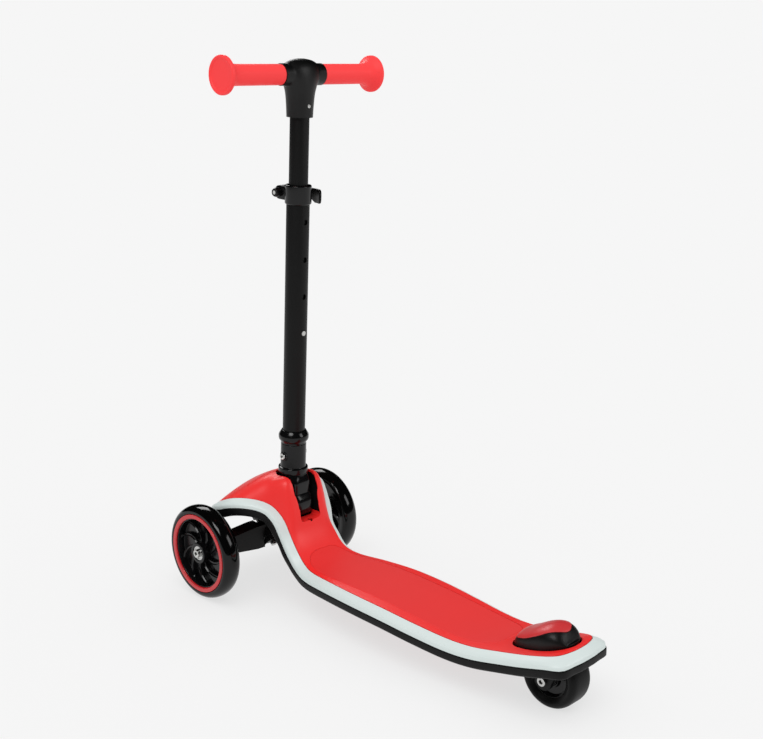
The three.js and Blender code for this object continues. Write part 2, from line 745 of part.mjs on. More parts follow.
function makeBase() {
  const screwBores = screwPlaces.map((place) => {
    const seat = screwSeat(place);
    return join(
      rod(screwRadius + gap, tall, Z, seat, pinSides),
      rod(screwHead + gap, tall, Z.clone().negate(), seat, smallSides),
    );
  });
  const bosses = screwPlaces.map((place) => {
    const foot = screwSeat(place);
    return rod(screwBoss, ribDepth + baseWall, Z, foot.setZ(foot.z - ribDepth), smallSides);
  });
  const pocketStart = at(-rearWidth / 2 - forkGap, rearAxle.y, rearAxle.z);
  const pocket = rod(rearRadius + pocketGap, rearWidth + 2 * forkGap, X, pocketStart, wheelSides);
  const brakeWell = plate(brakeShape(-pedalGap), tall, plane(X, Y, Z, at(0, 0, shelfTop)));
  const drain = rod(drainRadius, tall, Z, drainPlace.clone().setZ(0), smallSides);
  const latchBore = rod(latchRadius + runGap, tall, Y, at(0, foldPivot.y, latchHeight), smallSides);
  const springPlace = at(0, collarStart - gap, latchHeight);
  const springRoom = rod(latchCollar + runGap, springEnd - springPlace.y, Y, springPlace, smallSides);
  const knobRoom = rod(knobRadius + 2 * gap, tall, Y, at(0, knobPlace.y - gap, latchHeight), smallSides);
  const pinStart = foldPivot.clone().setX(-housingHalfWidth - ribThickness);
  const pinHole = rod(pinRadius + gap, -2 * pinStart.x, X, pinStart, smallSides);
  const down = kingpinAxis.clone().negate();
  const bossRoom = rod(truckBossRadius + gap, truckBossLength, down, bossPlace, tubeSides);
  const kingpinHole = rod(
    kingpinRadius + gap,
    kingpinReach + overrun + gap,
    kingpinAxis,
    bossPlace.clone().addScaledVector(kingpinAxis, -overrun),
    smallSides,
  );
  const axleStart = rearAxle.clone().setX(-forkOuter - gap);
  const axleHole = rod(boltRadius + gap, -2 * axleStart.x, X, axleStart, smallSides);
  const brakePinHole = rod(
    brakePinRadius + gap,
    brakePinLength + 2 * gap,
    X,
    brakePivot.clone().setX(brakePinStart - gap),
    pinSides,
  );
  const frame = cut(
    join(lip, ribs(), housing(), ...bosses),
    layer(-overrun, floorTop),
    knuckleWell,
    brakeWell,
  );
  return cut(
    join(frame, brakeShelf, ...fork(), ...brakeEars()),
    pocket,
    lugRoom,
    drain,
    latchBore,
    springRoom,
    knobRoom,
    pinHole,
    bossRoom,
    kingpinHole,
    axleHole,
    brakePinHole,
    ...screwBores,
  );
}

// Wheels. Each is turned about +X through its own middle, with its outer face towards +X.
const origin = at(0, 0, 0);
const halfTyre = wheelWidth / 2;
const tyre_shares = [
  [0.38, 1],
  [0.64, 0.91],
  [0.86, 0.63],
  [1, 0.16],
];
const trimSeat = tyreBore + trimWidth;

const onTyre = ([out, along], side) => [tyreBore + tyreDepth * out, side * halfTyre * along];
const makeTyre = () =>
  turned(
    [
      [tyreBore, -halfTyre + 2 * bearingInset],
      [tyreBore, halfTyre - coreRim / 2],
      [trimSeat, halfTyre - coreRim / 2],
      ...tyre_shares.map((share) => onTyre(share, 1)),
      ...tyre_shares.map((share) => onTyre(share, -1)).reverse(),
    ],
    X,
    origin,
    wheelSides,
  );

const makeTrim = () =>
  turned(
    [
      [tyreBore + gap, halfTyre - coreRim / 2 + gap],
      [trimSeat - gap, halfTyre - coreRim / 2 + gap],
      [trimSeat - gap, halfTyre + trimThickness / 2],
      [tyreBore + gap, halfTyre + trimThickness / 2],
    ],
    X,
    origin,
    wheelSides,
  );

function makeCore() {
  const rimOuter = tyreBore - 2 * gap;
  const rimInner = rimOuter - coreRim;
  const half = coreWidth / 2;
  const shape = turned(
    [
      [bearingRadius - 2 * bearingInset, -bearingInner + gap],
      [bearingRadius - 2 * bearingInset, bearingInner - gap],
      [bearingRadius + gap, bearingInner - gap],
      [bearingRadius + gap, hubHalf],
      [hubRadius, hubHalf],
      [hubRadius, coreWeb / 2],
      [rimInner, coreWeb / 2],
      [rimInner, half],
      [rimOuter, half],
      [rimOuter, -half],
      [rimInner, -half],
      [rimInner, -coreWeb / 2],
      [hubRadius, -coreWeb / 2],
      [hubRadius, -hubHalf],
      [bearingRadius + gap, -hubHalf],
      [bearingRadius + gap, -bearingInner + gap],
    ],
    X,
    origin,
    tubeSides,
  );
  const start = hubRadius - spokeWidth;
  const reach = rimInner + coreWeb - start;
  const steps = 3;
  const spoke = (turn) => {
    const edge = (side) =>
      Array.from({ length: steps + 1 }, (_, i) => {
        const share = i / steps;
        const radius = start + reach * share;
        const angle = turn + spokeSweep * share ** spokeCurl + (side * spokeWidth) / 2 / radius;
        return new THREE.Vector2(radius * Math.cos(angle), radius * Math.sin(angle));
      });
    return plate(new THREE.Shape([...edge(-1), ...edge(1).reverse()]), spokeHeight, plane(Y, Z, X, origin));
  };
  const spokes = Array.from({ length: spokeCount }, (_, i) => spoke((i / spokeCount) * 2 * Math.PI));
  return join(shape, ...spokes);
}

const makeBearing = (outer) =>
  turned(
    [
      [bearingBore, outer - bearingWidth],
      [bearingRadius, outer - bearingWidth],
      [bearingRadius, outer],
      [bearingBore, outer],
    ],
    X,
    origin,
    smallSides,
  );

const makeSpacer = (reach) =>
  turned(
    [
      [bearingBore, -reach],
      [bearingBore + 2 * bearingInset, -reach],
      [bearingBore + 2 * bearingInset, reach],
      [bearingBore, reach],
    ],
    X,
    origin,
    pinSides,
  );

// A socket-headed bolt: its head stands on the starting place, its shank runs along the axis.
function socketBolt(shank, length, head, headHeight, axis, place) {
  const back = axis.clone().negate();
  const top = place.clone().addScaledVector(back, headHeight + gap);
  return cut(
    join(rod(shank, length, axis, place, pinSides), rod(head, headHeight, back, place, smallSides)),
    rod(head / 2, headHeight / 2 + gap, axis, top, 6),
  );
}

const boltHeadInner = wheelTrack / 2 + bearingOuter + gap;
const boltLength = boltHeadInner - spindleReach + boltBite;

// Rear wheel, turned about +X through its own middle
const rearHub = rearWidth / 2 - 4 * sweepGap;
const rearBearingOuter = rearHub - bearingInset;
const rearBearingInner = rearBearingOuter - bearingWidth;
const rear_rim_share = 0.78; // of the wheel's half width
const rear_tyre_shares = [
  [0, 0.8],
  [0.4, 1],
  [0.72, 0.97],
  [0.93, 0.76],
  [1, 0.5],
];
const makeRearTyre = () => {
  const depth = rearRadius - rearCore - 2 * gap;
  const on = ([out, along], side) => [rearCore + 2 * gap + depth * out, (side * along * rearWidth) / 2];
  return turned(
    [
      ...rear_tyre_shares.map((share) => on(share, 1)),
      ...rear_tyre_shares.map((share) => on(share, -1)).reverse(),
    ],
    X,
    origin,
    wheelSides,
  );
};
const makeRearCore = () => {
  const half = (rearWidth / 2) * rear_rim_share;
  const side = (way) => [
    [bearingRadius - 2 * bearingInset, way * (rearBearingInner - gap)],
    [bearingRadius + gap, way * (rearBearingInner - gap)],
    [bearingRadius + gap, way * rearHub],
    [bearingRadius + 3 * bearingInset, way * rearHub],
    [bearingRadius + 4 * bearingInset, way * (half - rearDish)],
    [rearCore - 3 * bearingInset, way * (half - rearDish)],
    [rearCore, way * half],
  ];
  return turned([...side(1), ...side(-1).reverse()], X, origin, tubeSides);
};
const makeRearAxle = () =>
  socketBolt(
    boltRadius,
    2 * forkOuter + axleHeadHeight + 2 * gap,
    axleHead,
    axleHeadHeight,
    X,
    rearAxle.clone().setX(-forkOuter - gap),
  );
const nut = (radius, length, hole, axis, place) =>
  cut(
    rod(radius, length, axis, place, 6),
    rod(hole, length + overrun, axis, place.clone().addScaledVector(axis, -overrun / 2), smallSides),
  );

// Kingpin, its nut and bushings
const kingpinAt = (along) => kingpin.clone().addScaledVector(kingpinAxis, along);
const kingpinFoot = -truckBossLength / 2 - bushingLength - kingpinNutLength - 3 * gap;
const makeKingpin = () =>
  rod(kingpinRadius, bossStart + kingpinReach - kingpinFoot, kingpinAxis, kingpinAt(kingpinFoot), pinSides);
const bushing = (start) =>
  turned(
    [
      [kingpinRadius + gap, 0],
      [bushingRadius, 0],
      [bushingRadius, bushingLength - gap],
      [kingpinRadius + gap, bushingLength - gap],
    ],
    kingpinAxis,
    kingpinAt(start),
    smallSides,
  );

// Lean-steer truck: the beam with its spindles and the boss that turns on the kingpin
const truck_shares = [
  [0, 0.71, 1.23],
  [0.28, 0.72, 1.23],
  [0.58, 0.78, 1.2],
  [0.9, 0.84, 1.17],
];
function makeTruck() {
  const corner = (x, z) => new THREE.Vector2(spindleReach * x, wheelRadius * z);
  const low = truck_shares.map(([x, z]) => corner(x, z));
  const high = truck_shares.map(([x, , z]) => corner(x, z)).reverse();
  const right = [...low, ...high];
  const left = right.slice(1, -1).reverse().map((p) => new THREE.Vector2(-p.x, p.y));
  const outline = new THREE.Shape([...right, ...left]);
  const beam = plate(outline, truckDepth, plane(X, Z, Y.clone().negate(), at(0, truckDepth / 2, 0)));
  const half = truckBossLength / 2;
  const boss = rod(truckBossRadius, truckBossLength, kingpinAxis, kingpinAt(-half), tubeSides);
  const room = (start) => rod(truckBossRadius + gap, tall, kingpinAxis, kingpinAt(start), tubeSides);
  const spindles = [-1, 1].map((side) => {
    const end = frontAxle.clone().setX(side * spindleReach);
    const outwards = X.clone().multiplyScalar(side);
    return join(
      rod(spindleRadius, spindleReach / 4, outwards.clone().negate(), end, tubeSides),
      rod(spindleNose, spindleNoseLength, outwards, end, smallSides),
    );
  });
  const bolts = [-1, 1].map((side) => {
    const start = frontAxle.clone().setX(side * (boltHeadInner + overrun));
    const inwards = X.clone().multiplyScalar(-side);
    return rod(boltRadius + gap, boltLength + 2 * overrun, inwards, start, smallSides);
  });
  return cut(
    join(cut(beam, room(half), room(-half - tall)), boss, ...spindles),
    ...bolts,
    rod(kingpinRadius + runGap, tall, kingpinAxis, kingpinAt(-tall / 2), smallSides),
  );
}

// Foot brake: a hollow dome over the rear wheel, with its shoe and hinge lug
const domeSteps = 8;
function brakeDome(inset, depth) {
  const front = surfaceAt([0, -brakeFront]);
  return loft(
    brakeRows(inset).map(({ y, half, rise }) => {
      const foot = surfaceAt([0, y]);
      const top = Math.max(front + (brakeTop - front) * rise, foot + brakeSkirt) - inset;
      const arch = Array.from({ length: domeSteps + 1 }, (_, j) => {
        const angle = Math.PI * (j / domeSteps - 0.5);
        return at(half * Math.sin(angle), y, foot + (top - foot) * Math.sqrt(Math.max(Math.cos(angle), 0)));
      });
      return [at(-half, y, foot - depth), ...arch, at(half, y, foot - depth)];
    }),
  );
}
const inlayRoom = (inset, depth) =>
  upright(brakeShape(inlayInset + inset)).intersect(
    cut(brakeDome(-overrun, brakeSkirt), brakeDome(depth, 2 * brakeSkirt)),
  );
const shoe_shares = [0.4, 0.5];
function makeBrake() {
  const dome = brakeDome(0, brakeSkirt);
  const shoeHalf = rearWidth * shoe_shares[0];
  const shoe = box(
    at(-shoeHalf, rearAxle.y - rearRadius * shoe_shares[0], rearAxle.z),
    at(shoeHalf, rearAxle.y + rearRadius * shoe_shares[1], brakeTop),
  ).intersect(dome);
  const web = box(
    at(-brakeLugHalfWidth, brakePivot.y - brakeLug, brakePivot.z),
    at(brakeLugHalfWidth, brakePivot.y + brakeLug, tall),
  ).intersect(brakeDome(0, tall));
  const lug = rod(brakeLug, 2 * brakeLugHalfWidth, X, brakePivot.clone().setX(lugStart), smallSides);
  return cut(
    join(cut(dome, brakeDome(coverWall, 2 * brakeSkirt)), shoe, lug, web),
    rod(brakePinRadius + gap, tall, X, brakePivot.clone().setX(-tall / 2), pinSides),
    rod(rearRadius + brakeGap, tall, X, rearAxle.clone().setX(-tall / 2), wheelSides + smallSides),
    inlayRoom(0, inlayThickness),
  );
}
const makeInlay = () => inlayRoom(gap, inlayThickness - gap).intersect(brakeDome(-inlayProud, brakeSkirt));

// A helix of wire about an axis
function coil(radius, wireRadius, turns, pitch, axis, place, steps = 8) {
  const matrix = towards(axis, place);
  const points = Array.from({ length: turns * steps + 1 }, (_, i) => {
    const angle = (i / steps) * 2 * Math.PI;
    return at(radius * Math.cos(angle), (pitch * i) / steps, radius * Math.sin(angle)).applyMatrix4(matrix);
  });
  return wire(points, wireRadius, 4);
}
const makeBrakeSpring = () =>
  coil(
    springCoil,
    springWire,
    springTurns,
    springPitch,
    X,
    brakePivot.clone().setX(brakeLugHalfWidth + gap + springWire),
  );

// Fold latch
const makeLatchPin = () =>
  join(
    rod(latchRadius, knobPlace.y + knobLength / 2 - latchTip.y, Y, latchTip, smallSides),
    rod(latchCollar, latchCollarWidth, Y, at(0, collarStart, latchHeight), smallSides),
  );
const knob_shares = [
  [0, 0],
  [0.94, 0],
  [1, 0.04],
  [1, 0.88],
  [0.8, 1],
  [0, 1],
];
function makeLatchKnob() {
  const length = knobLength + knobProud;
  const outline = knob_shares.map(([out, along]) => [knobRadius * out, length * along]);
  const mouth = knobPlace.clone().setY(knobPlace.y - overrun);
  return cut(
    turned(outline, Y, knobPlace, tubeSides),
    rod(latchRadius + gap, knobLength / 2 + gap + overrun, Y, mouth, smallSides),
  );
}
const makeLatchSpring = () =>
  coil(
    latchRadius + 2 * gap + latchWire,
    latchWire,
    latchTurns,
    (latchSpringLength - 2 * latchWire) / latchTurns,
    Y,
    at(0, collarEnd + gap + latchWire, latchHeight),
  );

// Stem pieces, in the stem's own frame: the fold pivot is its origin and +Z runs up the stem.
const axisAt = (z) => at(0, stemAhead, z);
const back = Y.clone().negate();

const corner_share = 0.4; // of the knuckle's half width, rounded at its corners
const chamfer_share = 0.95; // of a collar's radius, left at its ends
function makeKnuckle() {
  const plan = new THREE.Shape();
  const corner = knuckleHalfWidth * corner_share;
  const [w, f, r] = [knuckleHalfWidth, knuckleFront, -knuckleBack];
  plan.moveTo(-w + corner, r);
  plan.lineTo(w - corner, r);
  plan.quadraticCurveTo(w, r, w, r + corner);
  plan.lineTo(w, f - corner);
  plan.quadraticCurveTo(w, f, w - corner, f);
  plan.lineTo(-w + corner, f);
  plan.quadraticCurveTo(-w, f, -w, f - corner);
  plan.lineTo(-w, r + corner);
  plan.quadraticCurveTo(-w, r, -w + corner, r);
  const column = plate(plan, flareBottom + 2 * knuckleBack, plane(X, Y, Z, at(0, 0, -2 * knuckleBack)), 3);
  const side = new THREE.Shape();
  side.absarc(0, 0, knuckleBack, -Math.PI, 0, false);
  side.lineTo(knuckleFront, knuckleBack / 4);
  side.lineTo(knuckleFront, flareTop);
  side.lineTo(-knuckleBack, flareTop);
  const profile = plate(side, 2 * w, plane(Y, Z, X, at(-w, 0, 0)), 9);
  const collar = turned(
    [
      [0, flareBottom - sweepGap * 2],
      [knuckleHalfWidth, flareBottom - sweepGap * 2],
      [flareRadius * chamfer_share, flareBottom],
      [flareRadius, flareBottom + sweepGap],
      [flareRadius, flareTop - sweepGap],
      [flareRadius * chamfer_share, flareTop],
      [sleeveRadius, flareTop + sweepGap / 2],
      [sleeveRadius, sleeveTop],
      [0, sleeveTop],
    ],
    Z,
    axisAt(0),
    tubeSides,
  );
  return cut(
    join(column.intersect(profile), collar),
    rod(lowerTubeRadius + gap, tall, Z, axisAt(lowerTubeFoot - gap), tubeSides),
    rod(pinRadius + gap, 2 * w + overrun, X, at(-w - overrun / 2, 0, 0), tubeSides),
    rod(crossBoltRadius + gap, tall, X, axisAt(crossBoltHeight).setX(-tall / 2), smallSides),
  );
}

const ring_shares = [0.12, 0.32, 0.7, 0.9]; // of its height, where the ring's slopes begin and end
const makeStemRing = () => {
  const inner = lowerTubeRadius + gap;
  const low = sleeveTop + gap;
  const height = ringTop - low;
  return turned(
    [
      [inner, low],
      [sleeveRadius, low],
      [sleeveRadius, low + height * ring_shares[0]],
      [ringRadius, low + height * ring_shares[1]],
      [ringRadius, low + height * ring_shares[2]],
      [sleeveRadius, low + height * ring_shares[3]],
      [sleeveRadius * chamfer_share, ringTop],
      [inner, ringTop],
    ],
    Z,
    axisAt(0),
    tubeSides,
  );
};

function makeLowerTube() {
  const hole = (height) =>
    rod(buttonRadius + runGap, lowerTubeRadius + overrun, back, axisAt(height), smallSides);
  const holes = Array.from({ length: holeCount }, (_, i) => hole(lowestHole + i * holePitch));
  const slit = box(
    at(-earSlit / 2, stemAhead, clampBottom),
    at(earSlit / 2, stemAhead + lowerTubeRadius + overrun, lowerTubeTop + overrun),
  );
  return cut(
    rod(lowerTubeRadius, lowerTubeTop - lowerTubeFoot, Z, axisAt(lowerTubeFoot), tubeSides),
    rod(lowerTubeBore, lowerTubeTop, Z, axisAt(lowerTubeFoot - overrun), tubeSides),
    rod(crossBoltRadius + gap, tall, X, axisAt(crossBoltHeight).setX(-tall / 2), smallSides),
    slit,
    ...holes,
  );
}

const crossBoltSeat = sleeveRadius + gap;
const makeCrossBolt = () =>
  socketBolt(
    crossBoltRadius,
    2 * crossBoltSeat + crossBoltHeadHeight,
    crossBoltHead,
    crossBoltHeadHeight,
    X,
    axisAt(crossBoltHeight).setX(-crossBoltSeat),
  );
const makeCrossNut = () =>
  nut(
    crossBoltHead,
    crossBoltHeadHeight,
    crossBoltRadius + gap,
    X,
    axisAt(crossBoltHeight).setX(crossBoltSeat),
  );

const makeBush = () =>
  turned(
    [
      [upperTubeRadius + gap, lowerTubeTop - bushLength],
      [lowerTubeBore - gap, lowerTubeTop - bushLength],
      [lowerTubeBore - gap, lowerTubeTop + gap],
      [lowerTubeRadius, lowerTubeTop + gap],
      [lowerTubeRadius, lowerTubeTop + gap + bushFlange],
      [upperTubeRadius + gap, lowerTubeTop + gap + bushFlange],
    ],
    Z,
    axisAt(0),
    tubeSides,
  );

// Clamp, its bolt and lever
const clampRadius = lowerTubeRadius + gap + clampWall;
const clampMiddle = (clampBottom + clampTop) / 2;
const boltAhead = clampRadius + earReach / 2;
const pinSide = earSlit / 2 + earThickness + gap + leverBoss;
const boltAt = (x) => at(x, stemAhead + boltAhead, clampMiddle);

function makeClamp() {
  const body = turned(
    [
      [lowerTubeRadius + gap, clampBottom],
      [clampRadius * chamfer_share, clampBottom],
      [clampRadius, clampBottom + gap * 4],
      [clampRadius, clampTop - gap * 4],
      [clampRadius * chamfer_share, clampTop],
      [lowerTubeRadius + gap, clampTop],
    ],
    Z,
    axisAt(0),
    tubeSides,
  );
  const ear = (side) => {
    const shape = new THREE.Shape();
    const half = earHeight / 2;
    const root = stemAhead + lowerTubeRadius + 2 * gap;
    shape.moveTo(root, clampMiddle - half);
    shape.lineTo(boltAt(0).y, clampMiddle - half);
    shape.absarc(boltAt(0).y, clampMiddle, half, -Math.PI / 2, Math.PI / 2, false);
    shape.lineTo(root, clampMiddle + half);
    const x = side > 0 ? earSlit / 2 : -earSlit / 2 - earThickness;
    return plate(shape, earThickness, plane(Y, Z, X, at(x, 0, 0)), 8);
  };
  return cut(
    join(body, ear(-1), ear(1)),
    box(at(-earSlit / 2, stemAhead, 0), at(earSlit / 2, tall, clampTop + overrun)),
    rod(clampBoltRadius + gap, tall, X, boltAt(-tall / 2), smallSides),
  );
}

const clampNutStart = earSlit / 2 + earThickness + gap;
const clampNutEnd = clampNutStart + clampNutLength;
const makeClampBolt = () =>
  cut(
    join(
      rod(clampBoltRadius, clampNutEnd + pinSide, X, boltAt(-clampNutEnd), smallSides),
      rod(leverEye, leverEyeHeight, Z, boltAt(pinSide).setZ(clampMiddle - leverEyeHeight / 2), smallSides),
    ),
    rod(leverPin + gap, tall, Z, boltAt(pinSide).setZ(clampMiddle - tall / 2), smallSides),
  );
const clamp_nut_shares = [
  [0, 0],
  [1, 0],
  [1, 0.7],
  [0.8, 1],
  [0, 1],
];
function makeClampNut() {
  const outline = clamp_nut_shares.map(([out, along]) => [clampNutRadius * out, clampNutLength * along]);
  return cut(
    turned(outline, X.clone().negate(), boltAt(-clampNutStart), smallSides),
    rod(clampBoltRadius + gap, 2 * clampNutLength + overrun, X, boltAt(-clampNutEnd - overrun), smallSides),
  );
}
const makeLeverPin = () =>
  rod(leverPin, leverHeight, Z, boltAt(pinSide).setZ(clampMiddle - leverHeight / 2), smallSides);

const lever_neck_share = 0.4; // of the clamp's radius, in front of the stem, where the lever flares
function makeLever() {
  const startRadius = Math.hypot(pinSide, boltAhead);
  const startAngle = Math.atan2(boltAhead, pinSide);
  const steps = 7;
  const edge = (offset) =>
    Array.from({ length: steps + 1 }, (_, i) => {
      const share = i / steps;
      const angle = startAngle + (leverEndAngle - startAngle) * share;
      const radius =
        startRadius + (leverEndRadius - startRadius) * share - leverBow * Math.sin(Math.PI * share) + offset;
      return new THREE.Vector2(radius * Math.cos(angle), stemAhead + radius * Math.sin(angle));
    });
  const half = leverThickness / 2;
  const shape = new THREE.Shape([...edge(-half), ...edge(half).reverse()]);
  const arm = plate(shape, leverFlare, plane(X, Y, Z, at(0, 0, clampMiddle - leverFlare / 2)));
  const outline = new THREE.Shape();
  const front = boltAt(0).y + leverBoss + overrun;
  const end = stemAhead + leverEndRadius * Math.sin(leverEndAngle) - overrun;
  const low = leverHeight / 2;
  const high = leverFlare / 2;
  const neck = stemAhead + clampRadius * lever_neck_share;
  outline.moveTo(front, -low);
  outline.lineTo(front, low);
  outline.lineTo(neck, low);
  outline.quadraticCurveTo(stemAhead, low, stemAhead - low / 2, high);
  outline.lineTo(end, high);
  outline.lineTo(end, -high);
  outline.lineTo(stemAhead - low / 2, -high);
  outline.quadraticCurveTo(stemAhead, -low, neck, -low);
  const side = plate(outline, tall, plane(Y, Z, X, at(0, 0, clampMiddle)), 6);
  const eye = boltAt(pinSide).setZ(clampMiddle - leverHeight / 2);
  const slotHeight = leverEyeHeight + 2 * gap;
  const slot = boltAt(pinSide).setZ(clampMiddle - slotHeight / 2);
  return cut(
    join(arm.intersect(side), rod(leverBoss, leverHeight, Z, eye, tubeSides)),
    rod(leverBoss + gap, slotHeight, Z, slot, tubeSides),
    rod(leverPin + gap, tall, Z, eye.clone().setZ(clampMiddle - tall / 2), smallSides),
  );
}

// Handlebar pieces, in the stem's own frame
const teeTubeTop = barHeight - barRadius - 2 * gap - sweepGap;
const makeUpperTube = () =>
  cut(
    rod(upperTubeRadius, teeTubeTop - gap - upperTubeFoot, Z, axisAt(upperTubeFoot), tubeSides),
    rod(upperTubeBore, tall * 4, Z, axisAt(upperTubeFoot - overrun), tubeSides),
    rod(buttonRadius + runGap, upperTubeRadius + overrun, back, axisAt(lowestHole), smallSides),
    rod(teeScrewRadius + gap, upperTubeRadius + overrun, back, axisAt(teeScrewHeight), pinSides),
  );

const tee_shares = [
  [0, 1, 1],
  [0.2, 1.05, 1.03],
  [0.4, 1.14, 1.06],
  [0.56, 1.3, 1.1],
  [0.7, 1.48, 1.1],
  [0.82, 1.48, 1.02],
  [0.91, 1.3, 0.86],
  [0.97, 0.9, 0.6],
  [1, 0.3, 0.2],
];
function makeTee() {
  const sides = tubeSides;
  const body = loft(
    tee_shares.map(([rise, wide, deep]) =>
      Array.from({ length: sides }, (_, i) => {
        const angle = (i / sides) * 2 * Math.PI;
        return at(
          teeSleeveRadius * wide * Math.cos(angle),
          stemAhead + teeSleeveRadius * deep * Math.sin(angle),
          teeBottom + (teeTop - teeBottom) * rise,
        );
      }),
    ),
  );
  return cut(
    join(body, rod(teeArmRadius, 2 * teeArmReach, X, axisAt(barHeight).setX(-teeArmReach), tubeSides)),
    rod(upperTubeRadius + gap, teeTubeTop - teeBottom + overrun, Z, axisAt(teeBottom - overrun), tubeSides),
    rod(barRadius + gap, tall, X, axisAt(barHeight).setX(-tall / 2), tubeSides),
    rod(teeScrewRadius + gap, teeSleeveRadius * 2, back, axisAt(teeScrewHeight), pinSides),
  );
}
const tee_face_share = 1.05; // of the sleeve's radius, where the screw's head lies
const makeTeeScrew = () => {
  const face = axisAt(teeScrewHeight);
  face.y -= teeSleeveRadius * tee_face_share;
  return cut(
    rod(teeScrewRadius, teeScrewLength, Y, face, smallSides),
    rod(teeScrewRadius / 2, teeScrewRadius, Y, face.clone().setY(face.y - teeScrewRadius / 2), 6),
  );
};
const makeBar = () =>
  cut(
    rod(barRadius, 2 * barHalfLength, X, axisAt(barHeight).setX(-barHalfLength), tubeSides),
    rod(barRadius - gap * 5, tall * 2, X, axisAt(barHeight).setX(-tall), tubeSides),
  );
// Grip: shares of its flare, with how many flange widths before its end, then shares of its face
const grip_shares = [
  [0, 4],
  [0.12, 2.6],
  [0.38, 1.6],
  [0.82, 1],
  [1, 0.75],
  [1, 0.15],
];
const grip_face_shares = [0.96, 0.82, 0.76];
const makeGrip = () => {
  const start = teeArmReach + gap;
  const dish = gripHalfSpan - gripDish;
  const bore = barRadius + gap;
  const flare = gripFlange - gripRadius;
  return turned(
    [
      [bore, start],
      [gripRadius - gap, start],
      [gripRadius, start + 2 * gap],
      ...grip_shares.map(([out, from]) => [gripRadius + flare * out, gripHalfSpan - gripFlangeWidth * from]),
      [gripFlange * grip_face_shares[0], gripHalfSpan],
      [gripFlange * grip_face_shares[1], gripHalfSpan],
      [gripFlange * grip_face_shares[2], dish],
      [0, dish],
      [0, barHalfLength + gap],
      [bore, barHalfLength + gap],
    ],
    X,
    axisAt(barHeight),
    tubeSides,
  );
};

// Snap clip inside the upper tube: a bent steel strip with the button on its rear leg
const clip_shares = [
  [-0.9, -0.18],
  [-0.9, 0.2],
  [-0.45, 0.82],
  [-0.2, 1],
  [0.2, 1],
  [0.45, 0.82],
  [0.86, 0.3],
];
const button_root_share = 0.88;
function makeSnapClip() {
  const rear = upperTubeBore - gap - clipThickness;
  const path = clip_shares.map(([across, down]) =>
    at(0, stemAhead + rear * across, lowestHole - clipLength * down),
  );
  const rings = path.map((p, i) => {
    const along = path[Math.min(i + 1, path.length - 1)].clone().sub(path[Math.max(i - 1, 0)]).normalize();
    const through = X.clone().cross(along);
    return [
      [-1, -1],
      [1, -1],
      [1, 1],
      [-1, 1],
    ].map(([s, t]) =>
      p
        .clone()
        .addScaledVector(X, (s * clipWidth) / 2)
        .addScaledVector(through, (t * clipThickness) / 2),
    );
  });
  const root = rear * button_root_share;
  const studLength = lowerTubeRadius + buttonProud - root;
  const stud = rod(buttonRadius, studLength, back, at(0, stemAhead - root, lowestHole), smallSides);
  return join(loft(rings), stud);
}

// Everything in its place
const scooter = new THREE.Group();
const stem = new THREE.Group();
stem.position.copy(foldPivot);
stem.rotation.x = stemLean;
scooter.add(stem);
const wheelPlaces = [
  ["left", frontAxle.clone().setX(-wheelTrack / 2), Math.PI],
  ["right", frontAxle.clone().setX(wheelTrack / 2), 0],
];

function add(group, name, shape, [color, roughness, metalness]) {
  const { vertProperties, triVerts } = shape.getMesh();
  const geometry = new THREE.BufferGeometry();
  geometry.setAttribute("position", new THREE.BufferAttribute(vertProperties, 3));
  geometry.setIndex(new THREE.BufferAttribute(triVerts, 1));
  geometry.computeVertexNormals();
  const mesh = new THREE.Mesh(geometry, new THREE.MeshStandardMaterial({ color, roughness, metalness }));
  mesh.name = name;
  group.add(mesh);
  return mesh;
}

// Looks of the pieces: colour, roughness and metalness
const finish = {
  coverRed: [0xee2b2b, 0.42, 0],
  padRed: [0xde3534, 0.7, 0],
  gripRed: [0xf6474b, 0.55, 0],
  trimRed: [0xb3262b, 0.4, 0],
  band: [0xcfddd7, 0.35, 0],
  black: [0x1c1c1c, 0.55, 0],
  glossBlack: [0x121212, 0.32, 0],
  tubeBlack: [0x1b1b1b, 0.45, 0.2],
  smoke: [0x2b2c2a, 0.15, 0],
  rubber: [0x1a1a1a, 0.5, 0],
  steel: [0xb8bbbd, 0.3, 1],
  urethane: [0xc9c2ae, 0.5, 0],
};

add(scooter, "deck_cover", cover, finish.coverRed);
add(scooter, "deck_pad", pad, finish.padRed);
add(scooter, "light_band", band, finish.band);
add(scooter, "deck_base", makeBase(), finish.black);
add(scooter, "fold_pin", rod(pinRadius, 2 * housingHalfWidth - 2 * gap, X,
  foldPivot.clone().setX(gap - housingHalfWidth), tubeSides), finish.steel);
add(scooter, "latch_pin", makeLatchPin(), finish.steel);
add(scooter, "latch_knob", makeLatchKnob(), finish.glossBlack);
add(scooter, "latch_spring", makeLatchSpring(), finish.steel);
add(scooter, "kingpin", makeKingpin(), finish.steel);
add(scooter, "kingpin_nut",
  nut(kingpinNutRadius, kingpinNutLength, kingpinRadius + gap, kingpinAxis, kingpinAt(kingpinFoot)),
  finish.steel);
add(scooter, "upper_bushing", bushing(truckBossLength / 2 + gap), finish.urethane);
add(scooter, "lower_bushing", bushing(-truckBossLength / 2 - bushingLength), finish.urethane);
add(scooter, "truck", makeTruck(), finish.black);
add(scooter, "brake_pin", rod(brakePinRadius, brakePinLength, X,
  brakePivot.clone().setX(brakePinStart), pinSides), finish.steel);
add(scooter, "brake_spring", makeBrakeSpring(), finish.steel);
add(scooter, "brake_pedal", makeBrake(), finish.black);
add(scooter, "brake_inlay", makeInlay(), finish.coverRed);
add(scooter, "rear_axle", makeRearAxle(), finish.steel);
add(scooter, "rear_axle_nut",
  nut(axleHead, axleHeadHeight, boltRadius + gap, X, rearAxle.clone().setX(forkOuter + gap)), finish.steel);
